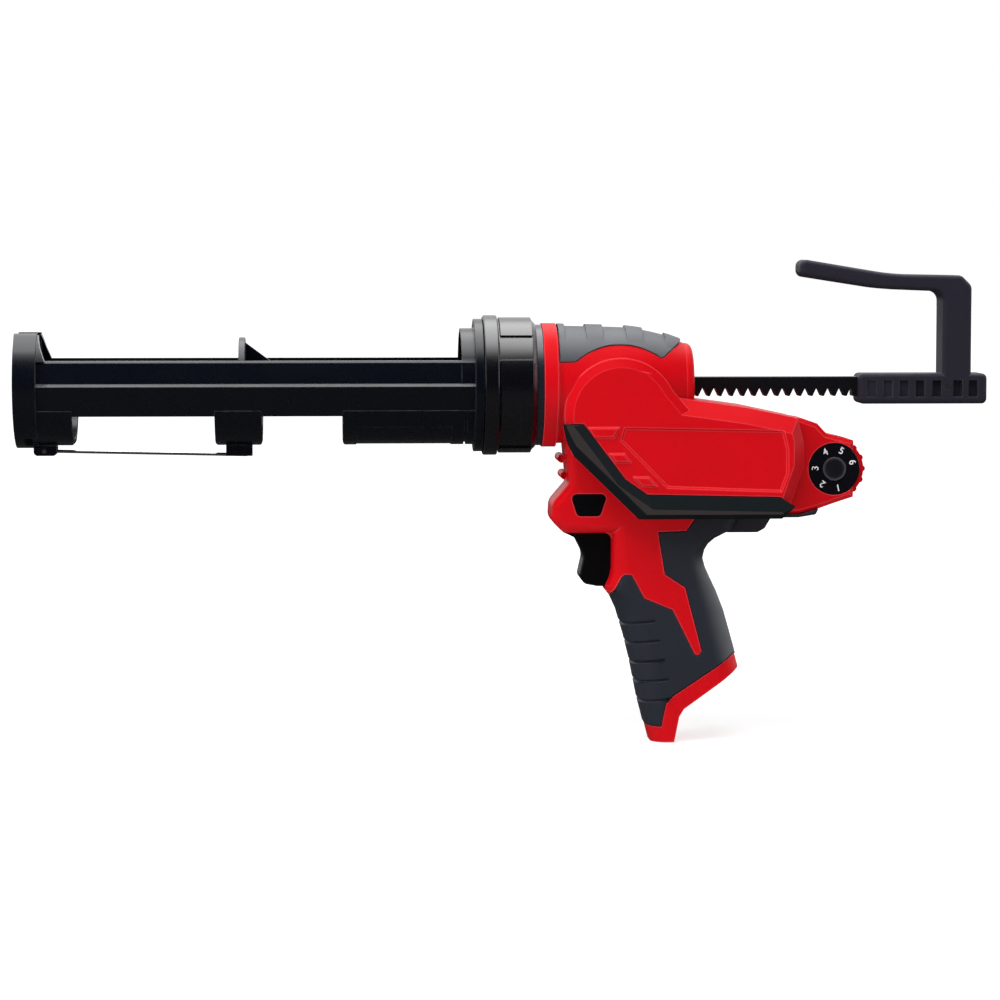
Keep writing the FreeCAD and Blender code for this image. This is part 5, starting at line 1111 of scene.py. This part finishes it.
@dataclass(frozen=True)
class Lamp:
    """A soft rectangular lamp.

    Attributes:
        name: name of the lamp.
        place: where it hangs.
        aim: point that it faces.
        size: width and height.
        power: watts.
    """

    name: str
    place: Triple
    aim: Triple
    size: Span
    power: float

    def hang(self) -> None:
        """Hang the lamp so that the tool doesn't mirror it."""
        data = bpy.data.lights.new(self.name, "AREA")
        data.shape = "RECTANGLE"
        data.size, data.size_y = self.size
        data.energy = self.power
        lamp = bpy.data.objects.new(self.name, data)
        lamp.location = self.place
        way = Vector(self.aim) - Vector(self.place)
        lamp.rotation_euler = way.to_track_quat("-Z", "Y").to_euler()
        lamp.visible_glossy = False
        bpy.context.scene.collection.objects.link(lamp)


LAMPS = (
    Lamp("key_softbox", (-0.35, -0.75, 1.25), (0.0, 0.0, -0.03), (1.6, 0.9), 25.0),
    Lamp("left_softbox", (-1.25, -0.8, 0.45), (-0.1, 0.0, -0.03), (0.5, 1.1), 8.0),
    Lamp("right_softbox", (1.15, 0.5, 0.55), (0.1, 0.0, -0.05), (0.5, 1.1), 7.0))


@dataclass(frozen=True)
class Glow:
    """One side of the room that the tool mirrors.

    Attributes:
        toward: middle of the bright side.
        span: where along that direction the light starts and is full.
        level: full strength.
        dim: strength of the rest of the room.
    """

    toward: Triple
    span: Span
    level: float
    dim: float = 0.015

    def strength(self, wires: Wiring, way: bpy.types.NodeSocket) -> bpy.types.NodeSocket:
        """Brighten the room softly towards this side.

        Args:
            wires: wiring of the world.
            way: direction looked in.

        Returns:
            The strength in each direction.
        """
        start, full = self.span
        node = wires.add("ShaderNodeMapRange", {
            "Value": wires.dot(way, self.toward), "From Min": start, "From Max": full,
            "To Min": self.dim, "To Max": self.level}, interpolation_type="SMOOTHSTEP")
        return node.outputs["Result"]


GLOWS = (
    Glow((0.0, 1.0, 0.0), (0.0, 0.5), 1.2),
    Glow((-1.0, 0.0, 0.0), (0.5, 1.0), 1.0),
    Glow((1.0, 0.0, 0.0), (0.5, 1.0), 2.0),
    Glow((0.0, 0.174, 0.985), (0.6, 1.0), 5.5))


@dataclass(frozen=True)
class Floor:
    """Wide pale floor that keeps the soft shadow.

    Attributes:
        size: length of its sides.
        rough: its roughness.
        patches: size of its patches of tone, per metre.
        tones: darkest and lightest tone.
        mirrored: tone that the tool mirrors.
        fade: distances from the tool where the floor starts to fade and is white.
        glow: strength that is seen beside the tool and where the floor is white.
        bounce: strength of the light that it throws back.
    """

    size: float = 24.0
    rough: float = 0.9
    patches: float = 1.2
    tones: Span = (0.56, 0.58)
    mirrored: float = 0.06
    fade: Span = (0.3, 1.1)
    glow: Span = (0.66, 1.0)
    bounce: float = 0.2

    def lay(self, height: float) -> None:
        """Lay the floor.

        Args:
            height: height of the floor.
        """
        deselect_all()
        bpy.ops.mesh.primitive_plane_add(size=self.size, location=(0.0, 0.0, height))
        plane = bpy.context.object
        plane.name = "studio_floor"
        plane.data.materials.append(self.material())
        plane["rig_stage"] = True

    def material(self) -> bpy.types.Material:
        """Build the floor's material.

        Returns:
            The material.
        """
        material = bpy.data.materials.new("studio_floor")
        material.use_nodes = True
        wires = Wiring(material.node_tree)
        dark, light = self.tones
        tone = wires.mix(wires.noise(self.patches, 2.0), grey(dark), grey(light))
        wires.feed(material.node_tree.nodes["Principled BSDF"], {
            "Base Color": wires.mix(wires.ray("Glossy"), tone, grey(self.mirrored)),
            "Roughness": self.rough,
            "Specular IOR Level": 0.0,
            "Emission Color": WHITE,
            "Emission Strength": self.strength(wires)})
        return material

    def strength(self, wires: Wiring) -> bpy.types.NodeSocket:
        """Let the floor fade into the white background and throw some light back.

        Args:
            wires: wiring of the material.

        Returns:
            The strength of the floor's own light.
        """
        place = wires.add("ShaderNodeTexCoord").outputs["Object"]
        away = wires.add("ShaderNodeVectorMath", {0: place}, operation="LENGTH").outputs["Value"]
        shown = wires.math("MULTIPLY", wires.seen(), wires.spread(wires.ramp(away, *self.fade), self.glow))
        return wires.math("ADD", shown, wires.math("MULTIPLY", wires.ray("Diffuse"), self.bounce))


@dataclass
class Studio:
    """Camera, lamps, floor and background.

    Attributes:
        eye: where the camera stands.
        aim: point that it faces.
        view_angle: its angle of view.
        sensor: width of its sensor, in millimetres.
        clip: nearest and farthest distance that it sees.
        ambient: strength of the light from all around.
    """

    eye: Vector = field(default_factory=lambda: Vector((-108.0, -1632.0, 65.8)) * MM)
    aim: Vector = field(default_factory=lambda: Vector((-21.6, 0.0, -55.2)) * MM)
    view_angle: float = math.radians(16.65)
    sensor: float = 36.0
    clip: Span = (0.05, 60.0)
    ambient: float = 0.26

    def build(self, floor_z: float) -> None:
        """Set up the whole studio.

        Args:
            floor_z: height of the floor.
        """
        bpy.context.scene.view_settings.view_transform = "Standard"
        self.camera()
        for lamp in LAMPS:
            lamp.hang()
        Floor().lay(floor_z)
        self.world()

    def camera(self) -> None:
        """Place the camera at the photograph's angle."""
        data = bpy.data.cameras.new("photo_camera")
        data.sensor_width = self.sensor
        data.sensor_fit = "HORIZONTAL"
        data.angle = self.view_angle
        data.clip_start, data.clip_end = self.clip
        camera = bpy.data.objects.new("photo_camera", data)
        camera.location = self.eye
        camera.rotation_euler = (self.aim - self.eye).to_track_quat("-Z", "Y").to_euler()
        bpy.context.scene.collection.objects.link(camera)
        bpy.context.scene.camera = camera

    def world(self) -> None:
        """Light the studio softly and show a white background.

        Glossy rays see the white sweep behind, above and beside the tool, and the dim room on the
        camera's side.
        """
        world = bpy.data.worlds.new("studio")
        world.use_nodes = True
        bpy.context.scene.world = world
        wires = Wiring(world.node_tree)
        way = wires.add("ShaderNodeTexCoord").outputs["Generated"]
        sweep: object = 0.0
        for glow in GLOWS:
            sweep = wires.math("MAXIMUM", sweep, glow.strength(wires, way))
        room = wires.add("ShaderNodeMix", {
            "Factor": wires.ray("Glossy"), "A": self.ambient, "B": sweep}, data_type="FLOAT")
        shown = wires.add("ShaderNodeMix", {
            "Factor": wires.seen(), "A": room.outputs["Result"], "B": 1.0}, data_type="FLOAT")
        wires.feed(world.node_tree.nodes["Background"], {
            "Color": WHITE, "Strength": shown.outputs["Result"]})


def node_slots(record: dict) -> dict[str, str]:
    """Read which material slot each node takes.

    Args:
        record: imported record.

    Returns:
        Node names with their slots.
    """
    return {part["node"]: part["material_slot"] for part in record["subparts"]}


def main() -> None:
    """Build the tool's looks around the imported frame."""
    logging.basicConfig(level=logging.INFO, format="%(name)s: %(message)s")
    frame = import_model()
    cad_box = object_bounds()
    frame["slots"] = node_slots(frame["record"])
    SharedGroups().build()
    for assembly in (Carriage(frame), PushRod(frame), Housing(frame), SpeedDial(frame), Drive(frame)):
        assembly.build()
    Studio().build(cad_box[0].z)


if __name__ == "__main__":
    main()
